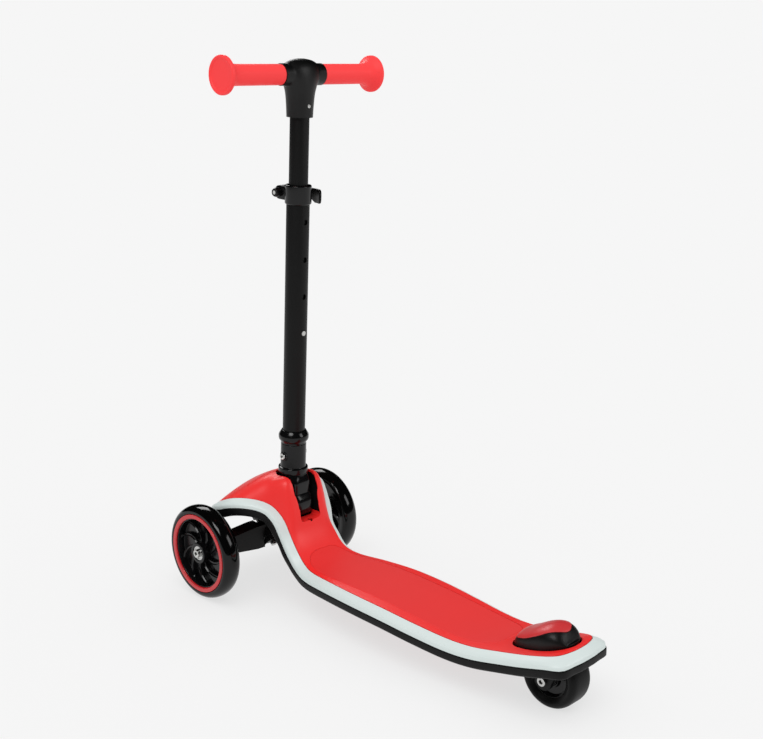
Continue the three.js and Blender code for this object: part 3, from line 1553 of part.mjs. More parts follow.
screwPlaces.forEach((place, i) => {
  const seat = screwSeat(place);
  add(scooter, `deck_screw_${i + 1}`,
    socketBolt(screwRadius, floorBottom - coverWall + screwBite, screwHead, screwHeadHeight, Z,
      seat.clone().setZ(seat.z - gap)), finish.steel);
});

for (const [side, place, turn] of wheelPlaces) {
  const wheel = new THREE.Group();
  wheel.position.copy(place);
  wheel.rotation.z = turn;
  scooter.add(wheel);
  add(wheel, `tyre_${side}`, makeTyre(), finish.smoke);
  add(wheel, `wheel_core_${side}`, makeCore(), finish.glossBlack);
  add(wheel, `wheel_ring_${side}`, makeTrim(), finish.trimRed);
  add(wheel, `outer_bearing_${side}`, makeBearing(bearingOuter), finish.steel);
  add(wheel, `inner_bearing_${side}`, makeBearing(bearingOuter), finish.steel).rotation.z = Math.PI;
  add(wheel, `bearing_spacer_${side}`, makeSpacer(bearingInner - gap), finish.steel);
  const bolt = add(scooter, `axle_bolt_${side}`,
    socketBolt(boltRadius, boltLength, boltHead, boltHeadHeight, X.clone().negate(),
      at(boltHeadInner, 0, 0)), finish.steel);
  bolt.position.z = wheelRadius;
  bolt.rotation.z = turn;
}

const rear = new THREE.Group();
rear.position.copy(rearAxle);
scooter.add(rear);
add(rear, "rear_tyre", makeRearTyre(), finish.rubber);
add(rear, "rear_core", makeRearCore(), finish.glossBlack);
add(rear, "rear_bearing_right", makeBearing(rearBearingOuter), finish.steel);
add(rear, "rear_bearing_left", makeBearing(rearBearingOuter), finish.steel).rotation.z = Math.PI;
add(rear, "rear_spacer", makeSpacer(rearBearingInner - gap), finish.steel);

add(stem, "fold_knuckle", makeKnuckle(), finish.glossBlack);
add(stem, "stem_ring", makeStemRing(), finish.black);
add(stem, "lower_tube", makeLowerTube(), finish.tubeBlack);
add(stem, "stem_bolt", makeCrossBolt(), finish.steel);
add(stem, "stem_nut", makeCrossNut(), finish.steel);
add(stem, "guide_bush", makeBush(), finish.black);
add(stem, "clamp_collar", makeClamp(), finish.glossBlack);
add(stem, "clamp_bolt", makeClampBolt(), finish.steel);
add(stem, "clamp_nut", makeClampNut(), finish.glossBlack);
add(stem, "clamp_lever", makeLever(), finish.glossBlack);
add(stem, "clamp_lever_pin", makeLeverPin(), finish.steel);
add(stem, "upper_tube", makeUpperTube(), finish.tubeBlack);
add(stem, "handlebar_tee", makeTee(), finish.black);
add(stem, "tee_screw", makeTeeScrew(), finish.steel);
add(stem, "handlebar_tube", makeBar(), finish.steel);
add(stem, "snap_clip", makeSnapClip(), finish.steel);
const grips = [["grip_right", 0], ["grip_left", Math.PI]];
for (const [name, turn] of grips) {
  const grip = add(stem, name, makeGrip(), finish.gripRed);
  grip.rotation.z = turn;
  if (turn) grip.position.y = 2 * stemAhead;
}

// The origin goes to the floor under the middle of the whole length.
scooter.position.y = (axleToTail + bandOut - wheelRadius) / 2;
const whole = new THREE.Group();
whole.add(scooter);

export default whole;
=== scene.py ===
import math
from contextlib import contextmanager

import bmesh
import bpy
from bpy.props import FloatProperty, FloatVectorProperty, IntProperty, PointerProperty
from mathutils import Matrix, Vector


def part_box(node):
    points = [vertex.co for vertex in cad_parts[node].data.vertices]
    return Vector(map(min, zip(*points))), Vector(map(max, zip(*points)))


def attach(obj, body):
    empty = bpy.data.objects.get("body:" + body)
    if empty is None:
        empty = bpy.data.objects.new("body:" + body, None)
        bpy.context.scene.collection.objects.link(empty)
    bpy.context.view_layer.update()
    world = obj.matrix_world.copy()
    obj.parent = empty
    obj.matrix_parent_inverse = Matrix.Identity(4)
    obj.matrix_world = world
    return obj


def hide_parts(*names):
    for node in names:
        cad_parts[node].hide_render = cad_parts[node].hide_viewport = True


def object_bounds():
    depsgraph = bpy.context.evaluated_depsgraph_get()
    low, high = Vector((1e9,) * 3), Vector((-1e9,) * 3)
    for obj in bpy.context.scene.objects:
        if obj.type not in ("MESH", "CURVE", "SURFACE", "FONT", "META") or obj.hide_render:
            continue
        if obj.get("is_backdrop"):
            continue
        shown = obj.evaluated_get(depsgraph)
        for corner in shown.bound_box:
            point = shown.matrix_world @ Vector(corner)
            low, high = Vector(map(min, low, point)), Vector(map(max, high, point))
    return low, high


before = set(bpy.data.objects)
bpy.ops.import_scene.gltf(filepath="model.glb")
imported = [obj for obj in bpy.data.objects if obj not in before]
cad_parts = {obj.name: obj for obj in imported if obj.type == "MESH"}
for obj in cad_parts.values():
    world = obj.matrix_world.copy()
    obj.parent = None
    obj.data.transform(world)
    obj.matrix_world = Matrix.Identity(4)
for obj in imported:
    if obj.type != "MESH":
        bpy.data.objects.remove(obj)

bl_info = {
    "name": "Three Wheel Kids Scooter",
    "version": (1, 0, 0),
    "blender": (4, 5, 0),
    "location": "View3D > Sidebar > Scooter",
    "description": "Models, finishes and lights a folding three wheel kids scooter on its packed frame",
    "category": "Object",
}

CAD_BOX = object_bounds()


def middle(node):
    """Middle of a solid of the frame."""
    low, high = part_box(node)
    return (Vector(low) + Vector(high)) / 2


FOLD_PIVOT = middle("fold_pin")
FRONT_AXLE = Vector((0, middle("tyre_left").y, middle("tyre_left").z))
REAR_AXLE = middle("rear_tyre")
RIGHT, LEFT, FORWARD, BACKWARD, UP = (1, 0, 0), (-1, 0, 0), (0, 1, 0), (0, -1, 0), (0, 0, 1)
# Clearance between pieces that fit together
GAP = 0.0003
# Rounding of fine edges
FINE = 0.0006
# Half width below which an outline's rounded end runs flat
END_HALF = 0.004
BEARING_WIDTH = 0.007
# Rear ends of the fold slot and of its lining, as shares of the hump's length
SLOT_END, LINING_END = 0.674, 0.645
# Rows of the deck's outline as shares: place along, half width, height of the edge, height of the
# crown, squareness. Nose rows run forward from the front axle, hump rows back from it, and platform
# rows back from the end of the hump.
NOSE = (
    (1, 0.05, 0.64, 0.646, 1.9),
    (0.97, 0.24, 0.643, 0.661, 1.9),
    (0.88, 0.49, 0.654, 0.694, 1.9),
    (0.69, 0.73, 0.677, 0.742, 1.9),
    (0.45, 0.9, 0.712, 0.798, 1.9),
    (0.15, 1, 0.754, 0.874, 1.75),
)
HUMP = (
    (0.085, 0.988, 0.804, 0.937, 1.85),
    (0.194, 0.915, 0.825, 0.976, 2.6),
    (0.291, 0.805, 0.826, 0.996, 3.4),
    (0.376, 0.695, 0.812, 0.99, 4.4),
    (0.461, 0.604, 0.78, 1.0, 6.2),
    (0.533, 0.549, 0.725, 0.985, 7.2),
    (0.576, 0.522, 0.677, 0.915, 7.2),
    (0.606, 0.507, 0.632, 0.82, 6.4),
    (0.633, 0.5, 0.587, 0.736, 6),
    (0.661, 0.501, 0.55, 0.63, 4.4),
    (0.703, 0.507, 0.503, 0.54, 3.5),
    (0.776, 0.515, 0.431, 0.455, 3),
    (0.861, 0.543, 0.38, 0.4, 3),
)
PLATFORM = (
    (0, 0.796, 0.971, 1.014, 3),
    (0.112, 0.916, 0.996, 1.03, 3),
    (0.235, 0.994, 1.012, 1.043, 3),
    (0.369, 1, 0.991, 1.022, 3),
    (0.496, 0.968, 0.941, 0.971, 3),
    (0.615, 0.908, 0.901, 0.93, 3),
    (0.704, 0.841, 0.922, 0.949, 3),
    (0.793, 0.76, 1.017, 1.043, 3),
    (0.872, 0.723, 1.13, 1.159, 3),
    (0.932, 0.705, 1.239, 1.268, 3),
    (0.968, 0.642, 1.304, 1.333, 3),
    (0.988, 0.49, 1.333, 1.355, 3),
    (0.998, 0.225, 1.345, 1.359, 3),
    (1, 0.064, 1.348, 1.357, 3),
)
# Light band's section: shares of how far out and how far down it reaches
BAND = ((0.36, 0.2), (0.7, 0.4), (0.94, 0.64), (1, 1))
# Foot brake: place along, half width, rise
BRAKE = (
    (0, 0.2, 0),
    (0.02, 0.5, 0.16),
    (0.12, 0.82, 0.42),
    (0.3, 0.96, 0.63),
    (0.5, 1, 0.86),
    (0.68, 0.98, 0.97),
    (0.83, 0.86, 0.9),
    (0.94, 0.62, 0.66),
    (1, 0.22, 0.34),
)
# Tee of the handlebar: rise, half width, half depth
TEE = (
    (0, 1, 1),
    (0.2, 1.05, 1.03),
    (0.4, 1.16, 1.06),
    (0.54, 1.36, 1.1),
    (0.68, 1.66, 1.1),
    (0.82, 1.7, 1.02),
    (0.91, 1.46, 0.86),
    (0.97, 1.0, 0.6),
    (1, 0.3, 0.2),
)
# Side of a tyre, as shares of its depth and of half its width
FRONT_SIDE = ((0.5, 1), (0.66, 0.93), (0.8, 0.79), (0.9, 0.6), (0.97, 0.36), (1, 0.12))
REAR_SIDE = ((0, 0.8), (0.4, 1), (0.72, 0.97), (0.93, 0.76), (1, 0.5))
# Flare of a grip, as shares of its flare and of the thickness of its end
GRIP_FLARE = (
    *((0, 4), (0.05, 3.1), (0.16, 2.35), (0.38, 1.6)),
    *((0.62, 1.22), (0.84, 0.98), (1, 0.78), (1, 0.15)),
)


def mm(value, description):
    """A length, given in millimetres and kept in metres."""
    return FloatProperty(description=description, default=value * 0.001, unit="LENGTH", precision=5)


def turn(value, description):
    """An angle, given in degrees."""
    return FloatProperty(description=description, default=math.radians(value), subtype="ANGLE")


def tint(value, description):
    """A colour, given as red, green and blue of 0 to 255 on screen."""
    linear = [(c / 255 / 12.92) if c <= 10 else ((c / 255 + 0.055) / 1.055) ** 2.4 for c in value]
    return FloatVectorProperty(description=description, default=linear, size=3, min=0, max=1, subtype="COLOR")


class ScooterDeck(bpy.types.PropertyGroup):
    """Sizes of the deck, its band and its base."""

    nose_length: mm(53.5, "From the front axle forward to the nose")
    hump_length: mm(165, "From the front axle back to where the platform begins")
    tail: mm(612.3, "From the front axle back to the end of the cover")
    wing: mm(82, "Half the width of the cover between the front wheels")
    platform_half: mm(62.2, "Half the width of the platform")
    hump_height: mm(189, "Highest point of the cover")
    platform_height: mm(69, "Height of the platform")
    wall: mm(3.4, "Thickness of the cover")
    band_out: mm(12.6, "How far the light band stands out from the cover")
    band_drop: mm(12.3, "How far the light band reaches down")
    band_spread: FloatProperty(
        name="Band spread", description="How much wider the band is at the tail's corners", default=0.46
    )
    lip_gap: mm(0.9, "Between the light band and the lip below it")
    lip_out: mm(12.6, "How far the lip stands out")
    lip_drop: mm(13, "Height of the lip")
    pad_front: mm(132, "From the front axle back to the pad")
    pad_back: mm(502.9, "From the front axle back to the end of the pad")
    pad_half: mm(48.5, "Half the width of the pad")
    pad_depth: mm(1.9, "Depth of the recess that holds the pad")
    pad_proud: mm(0.3, "How far the pad stands above the cover")
    slot_half: mm(19.2, "Half the width of the fold slot near its floor")
    slot_top: mm(23.6, "Half the width of the fold slot under the flare")
    slot_reach: mm(30.9, "From the fold pivot to the front of the slot")
    slot_floor: mm(121, "Height of the ledge in the fold slot")
    slot_corner: mm(6, "Rounding of the slot's lower corners")
    slot_shoulder: mm(146, "Height at which the slot begins to widen")
    slot_widen: mm(24, "Height over which the slot widens")
    ledge_front: mm(19.3, "From the fold pivot back to the front of the ledge")
    drain: mm(4.4, "Radius of the hole in the ledge")
    drain_back: mm(6.4, "From the back of the slot to the middle of the hole in the ledge")
    knob: mm(6, "Radius of the latch knob in the nose")
    knob_height: mm(128, "Height of the latch knob")


class ScooterWheels(bpy.types.PropertyGroup):
    """Sizes of the three wheels."""

    radius: mm(73, "Radius of a front wheel")
    width: mm(29.4, "Width of a front tyre")
    bore: mm(56.8, "Radius of the seat of a front tyre")
    rim: mm(6.5, "Depth of the wheel core's rim")
    core_width: mm(24, "Width of the wheel core")
    web: mm(2.4, "Thickness of the wheel core's web")
    hub: mm(17, "Radius of the wheel core's hub")
    spoke: mm(3.4, "Width of a spoke")
    spoke_height: mm(7, "Height of a spoke above the middle of the web")
    spokes: IntProperty(name="Spokes", description="Number of spokes", default=9, min=3, max=24)
    sweep: turn(38, "How far each spoke swirls round")
    ring: mm(4.4, "Width of the coloured ring's seat in the tyre")
    ring_lap: mm(2.6, "How far the ring laps over the wheel core's rim")
    ring_proud: mm(0.5, "How far the ring stands out of the tyre")
    bearing: mm(11, "Outer radius of a ball bearing")
    bolt: mm(6.4, "Radius of an axle bolt's head")
    rear_radius: mm(42.5, "Radius of the rear wheel")
    rear_width: mm(40, "Width of the rear wheel")
    rear_core: mm(27, "Radius of the rear wheel's core")


class ScooterStem(bpy.types.PropertyGroup):
    """Sizes of the stem, its foot and its clamp, measured up from the fold pivot."""

    lean: turn(2.6, "How far the stem leans back")
    ahead: mm(4.9, "Stem axis in front of the fold pivot")
    foot_half: mm(18.2, "Half the width of the stem's foot")
    foot_back: mm(19.4, "Fold pivot to the rear of the foot, above its heel")
    foot_front: mm(17.5, "Fold pivot to the front of the foot")
    foot_round: mm(14.5, "Radius of the foot's lower front about the fold pivot")
    heel: mm(27, "Radius of the foot's heel about the fold pivot")
    flare_bottom: mm(48.4, "Lower end of the flare")
    flare_top: mm(57.8, "Upper end of the flare")
    flare: mm(22.7, "Radius of the flare")
    sleeve: mm(19.4, "Radius of the sleeve")
    sleeve_top: mm(95.6, "Upper end of the sleeve")
    ring: mm(23, "Radius of the ring above the sleeve")
    ring_top: mm(116.9, "Upper end of that ring")
    cross_bolt: mm(76.9, "Height of the bolt through the sleeve")
    lower: mm(17, "Radius of the lower tube")
    lower_bore: mm(15.4, "Inner radius of the lower tube")
    lower_top: mm(482.5, "Upper end of the lower tube")
    upper: mm(14, "Radius of the upper tube")
    upper_bore: mm(12, "Inner radius of the upper tube")
    upper_foot: mm(226, "Lower end of the upper tube")
    hole: mm(4.1, "Radius of a height hole")
    first_hole: mm(270.9, "Height of the lowest height hole")
    pitch: mm(55, "Between two height holes")
    holes: IntProperty(name="Height holes", description="Number of height holes", default=4, min=1, max=12)
    clamp_bottom: mm(460.8, "Lower end of the clamp")
    clamp_top: mm(488.6, "Upper end of the clamp")
    clamp: mm(19.4, "Radius of the clamp")
    ear: mm(22.6, "How far the clamp's ears stand forward")
    ear_width: mm(9, "Width of each ear")
    ear_height: mm(20, "Height of the ears")
    slit: mm(2.4, "Width of the slit between the ears")
    nut: mm(6.6, "Radius of the clamp's nut")
    nut_length: mm(9, "Length of the clamp's nut")
    lever_thick: mm(4.6, "Thickness of the lever")
    lever_low: mm(13, "Height of the lever at its pin")
    lever_high: mm(21, "Height of the lever's paddle")
    lever_droop: mm(4, "How much lower the paddle lies than the lever's neck")
    lever_end: mm(32.5, "Distance of the lever's end from the stem axis")
    lever_angle: turn(-36, "Where the lever ends, round the stem")


class ScooterBar(bpy.types.PropertyGroup):
    """Sizes of the handlebar, in the stem's frame."""

    tee_bottom: mm(584.1, "Lower end of the tee")
    height: mm(642.8, "Height of the handlebar's axis")
    tee_top: mm(664.6, "Upper end of the tee")
    tee: mm(18.9, "Radius of the tee's sleeve")
    arm: mm(15.4, "Radius of the tee's arms")
    arm_reach: mm(37, "Half the length of the tee's arms")
    screw: mm(2.6, "Radius of the tee's screw")
    screw_height: mm(600.4, "Height of the tee's screw")
    bar: mm(11, "Radius of the handlebar's tube")
    span: mm(141.4, "Half the width over the grips")
    grip: mm(14.4, "Radius of a grip")
    flange: mm(26.3, "Radius of a grip's end")
    flange_width: mm(6.4, "Thickness of a grip's end")


class ScooterBrake(bpy.types.PropertyGroup):
    """Sizes of the foot brake."""

    front: mm(517, "From the front axle back to the pedal")
    back: mm(603, "From the front axle back to the end of the pedal")
    half: mm(29.5, "Half the width of the pedal")
    top: mm(114.5, "Highest point of the pedal")
    skirt: mm(3, "How far the pedal reaches below the deck's surface")
    gap: mm(2.4, "Between the pedal and the deck's opening")
    inset: mm(2.6, "Between the pedal's edge and its inlay")
    narrow: mm(8.5, "How much further in the inlay's rear end lies")
    proud: mm(0.5, "How far the inlay stands above the pedal")


class ScooterColours(bpy.types.PropertyGroup):
    """Colours of the finishes."""

    cover: tint((231, 36, 34), "Gloss red of the deck's cover")
    pad: tint((219, 44, 43), "Soft red of the foot pad")
    grip: tint((251, 63, 65), "Coral red of the grips")
    ring: tint((186, 34, 40), "Red of the rings in the front wheels")
    inlay: tint((196, 40, 43), "Red of the brake's inlay")
    band: tint((204, 214, 212), "Frosted white of the light band")
    base: tint((11, 11, 11), "Black of the deck's base")
    gloss: tint((10, 10, 11), "Black of the glossy mouldings")
    tube: tint((10, 10, 10), "Black of the stem's tubes")
    tyre: tint((5, 5, 5), "Smoky black of the front tyres")
    rear: tint((12, 12, 12), "Black of the rear tyre")
    steel: tint((196, 196, 194), "Bolts and bearings")
    floor: tint((130, 130, 130), "Pale floor")


# Modelling


def deselect():
    """Nothing is selected after this."""
    bpy.ops.object.select_all(action="DESELECT")


def only(piece):
    """The piece alone is selected and active."""
    deselect()
    piece.select_set(True)
    bpy.context.view_layer.objects.active = piece


@contextmanager
def editing(piece):
    """Edit mode on a piece with all of it selected, and object mode after it."""
    only(piece)
    bpy.ops.object.mode_set(mode="EDIT")
    bpy.ops.mesh.select_all(action="SELECT")
    yield
    bpy.ops.object.mode_set(mode="OBJECT")


def tidy(piece, distance=1e-6):
    """Merges doubled corners and turns all faces outwards."""
    with editing(piece):
        bpy.ops.mesh.remove_doubles(threshold=distance)
        bpy.ops.mesh.normals_make_consistent(inside=False)
    return piece


def settle(piece, matrix):
    """Places a piece by a matrix and keeps the outcome in its mesh."""
    only(piece)
    piece.matrix_world = matrix
    bpy.ops.object.transform_apply(location=True, rotation=True, scale=True)
    return piece


def lay(piece, axis=UP, place=(0, 0, 0)):
    """Turns the piece's own Z to an axis and moves it to a place."""
    swing = Vector(UP).rotation_difference(Vector(axis)).to_matrix().to_4x4()
    return settle(piece, Matrix.Translation(place) @ swing)


def loop(name, corners, fill="NOTHING"):
    """A closed line through its corners, filled where asked."""
    deselect()
    bpy.ops.mesh.primitive_circle_add(vertices=len(corners), radius=0.01, fill_type=fill)
    piece = bpy.context.object
    piece.name = name
    for vertex, corner in zip(piece.data.vertices, corners):
        vertex.co = corner
    return piece


def turned(name, outline, sides=96, rounding=0.0, axis=UP, place=(0, 0, 0)):
    """A piece spun from pairs of radius and height, and laid along an axis from a place."""
    on_axis, sharp = 1e-6, 0.45
    piece = loop(name, [(radius, 0, height) for radius, height in outline])
    with editing(piece):
        bpy.ops.mesh.select_mode(type="VERT")
        bpy.ops.mesh.select_all(action="DESELECT")
        mesh = bmesh.from_edit_mesh(piece.data)
        if rounding:
            for vertex in mesh.verts:
                ends = [edge.other_vert(vertex).co - vertex.co for edge in vertex.link_edges]
                vertex.select = vertex.co.x > on_axis and math.pi - ends[0].angle(ends[1]) > sharp
            bmesh.update_edit_mesh(piece.data)
            bpy.ops.mesh.bevel(offset=rounding, segments=3, affect="VERTICES", clamp_overlap=True)
            mesh = bmesh.from_edit_mesh(piece.data)
        inner = [edge for edge in mesh.edges if all(abs(end.co.x) < on_axis for end in edge.verts)]
        bmesh.ops.delete(mesh, geom=inner, context="EDGES")
        bmesh.update_edit_mesh(piece.data)
        bpy.ops.mesh.select_all(action="SELECT")
        bpy.ops.mesh.spin(steps=sides, angle=2 * math.pi, center=(0, 0, 0), axis=UP)
    return tidy(lay(piece, axis, place))


def wall(inner, outer, low, high):
    """Outline of a tube's wall between two heights, or of a rod where its inner radius is 0."""
    return ((inner, low), (outer, low), (outer, high), (inner, high))


def rod(name, radius, low, high, sides=48, axis=UP, place=(0, 0, 0)):
    """A plain rod between two heights along an axis from a place."""
    return turned(name, wall(0, radius, low, high), sides, 0, axis, place)


def draped(name, around, along, place):
    """A grid whose corners are laid where place(around, along) says, both from 0 to 1."""
    deselect()
    bpy.ops.mesh.primitive_grid_add(x_subdivisions=around, y_subdivisions=along, size=2)
    piece = bpy.context.object
    piece.name = name
    for vertex in piece.data.vertices:
        vertex.co = place((vertex.co.x + 1) / 2, (vertex.co.y + 1) / 2)
    with editing(piece):
        bpy.ops.mesh.remove_doubles(threshold=2e-6)
        bpy.ops.mesh.fill_holes(sides=0)
        bpy.ops.mesh.select_all(action="SELECT")
        bpy.ops.mesh.normals_make_consistent(inside=False)
    return piece


def plate(name, outline, depth, matrix, inset=0.0, sink=0.0):
    """A flat outline thickened along its own Z, with a sunk panel in its top where asked."""
    piece = loop(name, [(x, y, 0) for x, y in outline], "NGON")
    with editing(piece):
        bpy.ops.mesh.extrude_region_move(TRANSFORM_OT_translate={"value": (0, 0, depth)})
        if inset:
            bpy.ops.mesh.inset(thickness=inset, depth=-sink)
    return tidy(settle(piece, matrix))


def axes(across, up, through, origin=(0, 0, 0)):
    """Matrix whose X, Y and Z run along three directions from an origin."""
    matrix = Matrix((across, up, through)).transposed().to_4x4()
    matrix.translation = origin
    return matrix


def joined(*pieces):
    """One piece from several, under the first one's name."""
    deselect()
    for piece in pieces:
        piece.select_set(True)
    bpy.context.view_layer.objects.active = pieces[0]
    bpy.ops.object.join()
    return pieces[0]


def combine(piece, other, operation):
    """Cuts, joins or keeps the part of a piece that another shape says, and drops that shape."""
    only(piece)
    change = piece.modifiers.new("Combine", "BOOLEAN")
    change.operation = operation
    change.solver = "EXACT"
    change.object = other
    bpy.ops.object.modifier_apply(modifier=change.name)
    bpy.data.objects.remove(other)
    return piece


def cut(piece, other):
    """Takes another shape out of a piece."""
    return combine(piece, other, "DIFFERENCE")


def soften(piece, width, segments=3):
    """Rounds the sharp edges of a piece."""
    only(piece)
    change = piece.modifiers.new("Soften", "BEVEL")
    change.width = width
    change.segments = segments
    change.limit_method = "ANGLE"
    change.angle_limit = math.radians(40)
    change.use_clamp_overlap = True
    change.miter_outer = "MITER_ARC"
    bpy.ops.object.modifier_apply(modifier=change.name)
    return piece


def finished(piece, material, body, replaces=(), smooth=35):
    """Shades and paints a piece and lets it ride on its body."""
    only(piece)
    bpy.ops.object.shade_smooth_by_angle(angle=math.radians(smooth))
    piece.data.materials.clear()
    piece.data.materials.append(material)
    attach(piece, body)
    if replaces:
        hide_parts(*replaces)
    return piece


def copy_of(node, name):
    """A merged copy of a solid of the frame."""
    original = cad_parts[node]
    piece = original.copy()
    piece.data = original.data.copy()
    piece.name = name
    piece.parent = None
    piece.matrix_world = Matrix.Identity(4)
    piece.hide_render = piece.hide_viewport = False
    bpy.context.scene.collection.objects.link(piece)
    return tidy(piece, 1e-5)


def clamped(value):
    """A value held between 0 and 1."""
    return max(0, min(1, value))


def eased(share):
    """A share from 0 to 1 that starts and ends gently."""
    return share * share * (3 - 2 * share)


def squared(angle, square):
    """Where an angle lies on a unit circle that is drawn out towards a square."""
    return [math.copysign(abs(c) ** (2 / square), c) for c in (math.cos(angle), math.sin(angle))]


def flipped(points):
    """Points on the other side, in reverse."""
    return [(a, -b) for a, b in reversed(points)]


def blend_rows(rows, place):
    """A row between rows, on a smooth curve through them."""
    i = min(int(math.floor(place)), len(rows) - 2)
    t = place - i
    a, b, c, d = (rows[max(0, min(len(rows) - 1, j))] for j in (i - 1, i, i + 1, i + 2))
    return tuple(
        0.5 * (2 * q + (r - p) * t + (2 * p - 5 * q + 4 * r - s) * t * t + (3 * q - p - 3 * r + s) * t**3)
        for p, q, r, s in zip(a, b, c, d)
    )


def drawn(rows, count):
    """A number of rows on the smooth curve through a few."""
    return [blend_rows(rows, (len(rows) - 1) * i / count) for i in range(count + 1)]


def spaced(rows, step):
    """Places along the rows, about one step apart, with every row among them."""
    places = [0.0]
    for i in range(len(rows) - 1):
        length = math.dist(rows[i][:3], rows[i + 1][:3])
        count = max(3, math.ceil(length / step))
        places += [i + (j + 1) / count for j in range(count)]
    return places


class Deck:
    """The deck's outline and surface."""

    def __init__(self, sizes):
        self.sizes = sizes
        axle, hump, tall = FRONT_AXLE.y, sizes.hump_length, sizes.hump_height
        rows = []
        for table, start, length, half, height in (
            (NOSE, axle, -sizes.nose_length, sizes.wing, tall),
            (HUMP, axle, hump, sizes.wing, tall),
            (PLATFORM, axle - hump, sizes.tail - hump, sizes.platform_half, sizes.platform_height),
        ):
            rows += [(start - length * a, half * h, height * e, height * c, s) for a, h, e, c, s in table]
        far = lambda row: (row[0], -row[1], *row[2:])
        self.rows = [far(rows[1]), far(rows[0]), *rows, far(rows[-1]), far(rows[-2])]
        first, last = 1.5, len(rows) + 1.5
        places = [place for place in spaced(self.rows, 0.006) if first < place < last]
        self.samples = [self.row(place) for place in (first, *places, last)]

    def row(self, place):
        """Place along, half width, heights of edge and crown, and squareness at a place in the rows."""
        y, half, edge, crown, square = blend_rows(self.rows, place)
        ends = min(1, max(half, 0) / END_HALF) ** 0.5
        return (y, max(half, 0), edge, edge + (crown - edge) * ends, square)

    def between(self, share):
        """The row at a share of the way from nose to tail, counted in rows."""
        return self.samples[round(share * (len(self.samples) - 1))]

    @staticmethod
    def top(row, share):
        """Height of the cover at a share of the half width of a row."""
        y, half, edge, crown, square = row
        return edge + (crown - edge) * (1 - min(1, abs(share)) ** square)

    def height(self, x, y):
        """Height of the cover over a place."""
        for ahead, behind in zip(self.samples, self.samples[1:]):
            if behind[0] <= y <= ahead[0]:
                t = (ahead[0] - y) / max(ahead[0] - behind[0], 1e-9)
                return (1 - t) * self.top(ahead, x / max(ahead[1], 1e-6)) + t * self.top(
                    behind, x / max(behind[1], 1e-6)
                )
        row = self.samples[0] if y > 0 else self.samples[-1]
        return row[2]

    def slab(self, name, high, low, around=96):
        """The deck between two heights, each worked out from the height of the cover."""
        share = 2 / 3

        def place(u, v):
            row = self.between(v)
            if u <= share + 1e-6:
                s = math.sin(math.pi / 2 * (2 * u / share - 1))
                z = high(self.top(row, s))
            else:
                s = math.sin(math.pi / 2 * (1 - 2 * (u - share) / (1 - share)))
                z = low(self.top(row, s)) if u < 1 - 1e-6 else high(self.top(row, s))
            return (row[1] * s, row[0], z)

        return draped(name, around, len(self.samples) - 1, place)

    def rim(self):
        """Points all round the cover's edge."""
        right = [Vector((half, y, edge)) for y, half, edge, crown, square in self.samples]
        left = [Vector((-p.x, p.y, p.z)) for p in reversed(right[1:-1])]
        return right + left

    def carried(self, name, profile, spread=0.0):
        """A closed profile of outward and downward steps, carried all round the cover's edge.

        At the corners of the tail it reaches out further, by the spread."""
        rim = self.rim()
        count = len(rim)
        corner_start, corner_length, corner_power = FRONT_AXLE.y - 0.5, 0.06, 2.4
        frames = []
        for i, p in enumerate(rim):
            along = (rim[(i + 1) % count] - rim[i - 1]).normalized()
            outward = Vector((-along.y, along.x, 0)).normalized()
            tail = clamped((corner_start - p.y) / corner_length)
            wider = 1 + spread * tail * max(0, -2 * outward.y * abs(outward.x)) ** corner_power
            frames.append((p, outward, outward.cross(along), wider))

        def place(u, v):
            p, outward, down, wider = frames[round(v * count) % count]
            out, drop = profile[round(u * len(profile)) % len(profile)]
            return p + outward * out * (wider if out > 0 else 1) + down * drop

        return draped(name, len(profile), count, place)


def rounded(points, radius, steps=4):
    """A closed outline of pairs with its corners rounded."""
    done = []
    for i, here in enumerate(points):
        before, after = Vector(points[i - 1]), Vector(points[(i + 1) % len(points)])
        here = Vector(here)
        a, b = before - here, after - here
        reach = min(radius, a.length * 0.45, b.length * 0.45)
        start, end = here + a.normalized() * reach, here + b.normalized() * reach
        for j in range(steps + 1):
            t = j / steps
            done.append(tuple(start * (1 - t) ** 2 + here * 2 * t * (1 - t) + end * t * t))
    return done


# Finishes


def node(tree, kind, place, inputs, **settings):
    """Adds a shader node at a place, with its settings and the values of its inputs."""
    made = tree.nodes.new(kind)
    made.location = place
    for key, value in settings.items():
        setattr(made, key, value)
    for key, value in inputs.items():
        made.inputs[key].default_value = value
    return made


def moulded(name, colour, roughness, grain=0.25, scale=1400, spread=0.06, metal=0.0, level=0.5):
    """A moulded or coated surface: fine grain, small changes of tone and of gloss."""
    material = bpy.data.materials.new(name)
    material.use_nodes = True
    tree = material.node_tree
    shader = tree.nodes["Principled BSDF"]
    shader.inputs["Metallic"].default_value = metal
    shader.inputs["Specular IOR Level"].default_value = level
    dark = (*(c * (1 - spread) for c in colour), 1)
    light = (*(min(1, c * (1 + spread)) for c in colour), 1)
    dull, bright = min(1, roughness * 1.12), roughness * 0.88
    where = node(tree, "ShaderNodeTexCoord", (-1100, 0), {})
    cloud = node(tree, "ShaderNodeTexNoise", (-850, 200), {"Scale": 9, "Detail": 4})
    fine = node(tree, "ShaderNodeTexNoise", (-850, -200), {"Scale": scale, "Detail": 3})
    tone = node(tree, "ShaderNodeMix", (-550, 250), {"A": dark, "B": light}, data_type="RGBA")
    gloss = node(tree, "ShaderNodeMapRange", (-550, 0), {"To Min": bright, "To Max": dull})
    bump = node(tree, "ShaderNodeBump", (-300, -200), {"Strength": grain, "Distance": 0.0002})
    for source, output, target, entry in (
        (where, "Object", cloud, "Vector"),
        (where, "Object", fine, "Vector"),
        (cloud, "Fac", tone, "Factor"),
        (cloud, "Fac", gloss, "Value"),
        (fine, "Fac", bump, "Height"),
        (tone, "Result", shader, "Base Color"),
        (gloss, "Result", shader, "Roughness"),
        (bump, "Normal", shader, "Normal"),
    ):
        tree.links.new(source.outputs[output], target.inputs[entry])
    return material


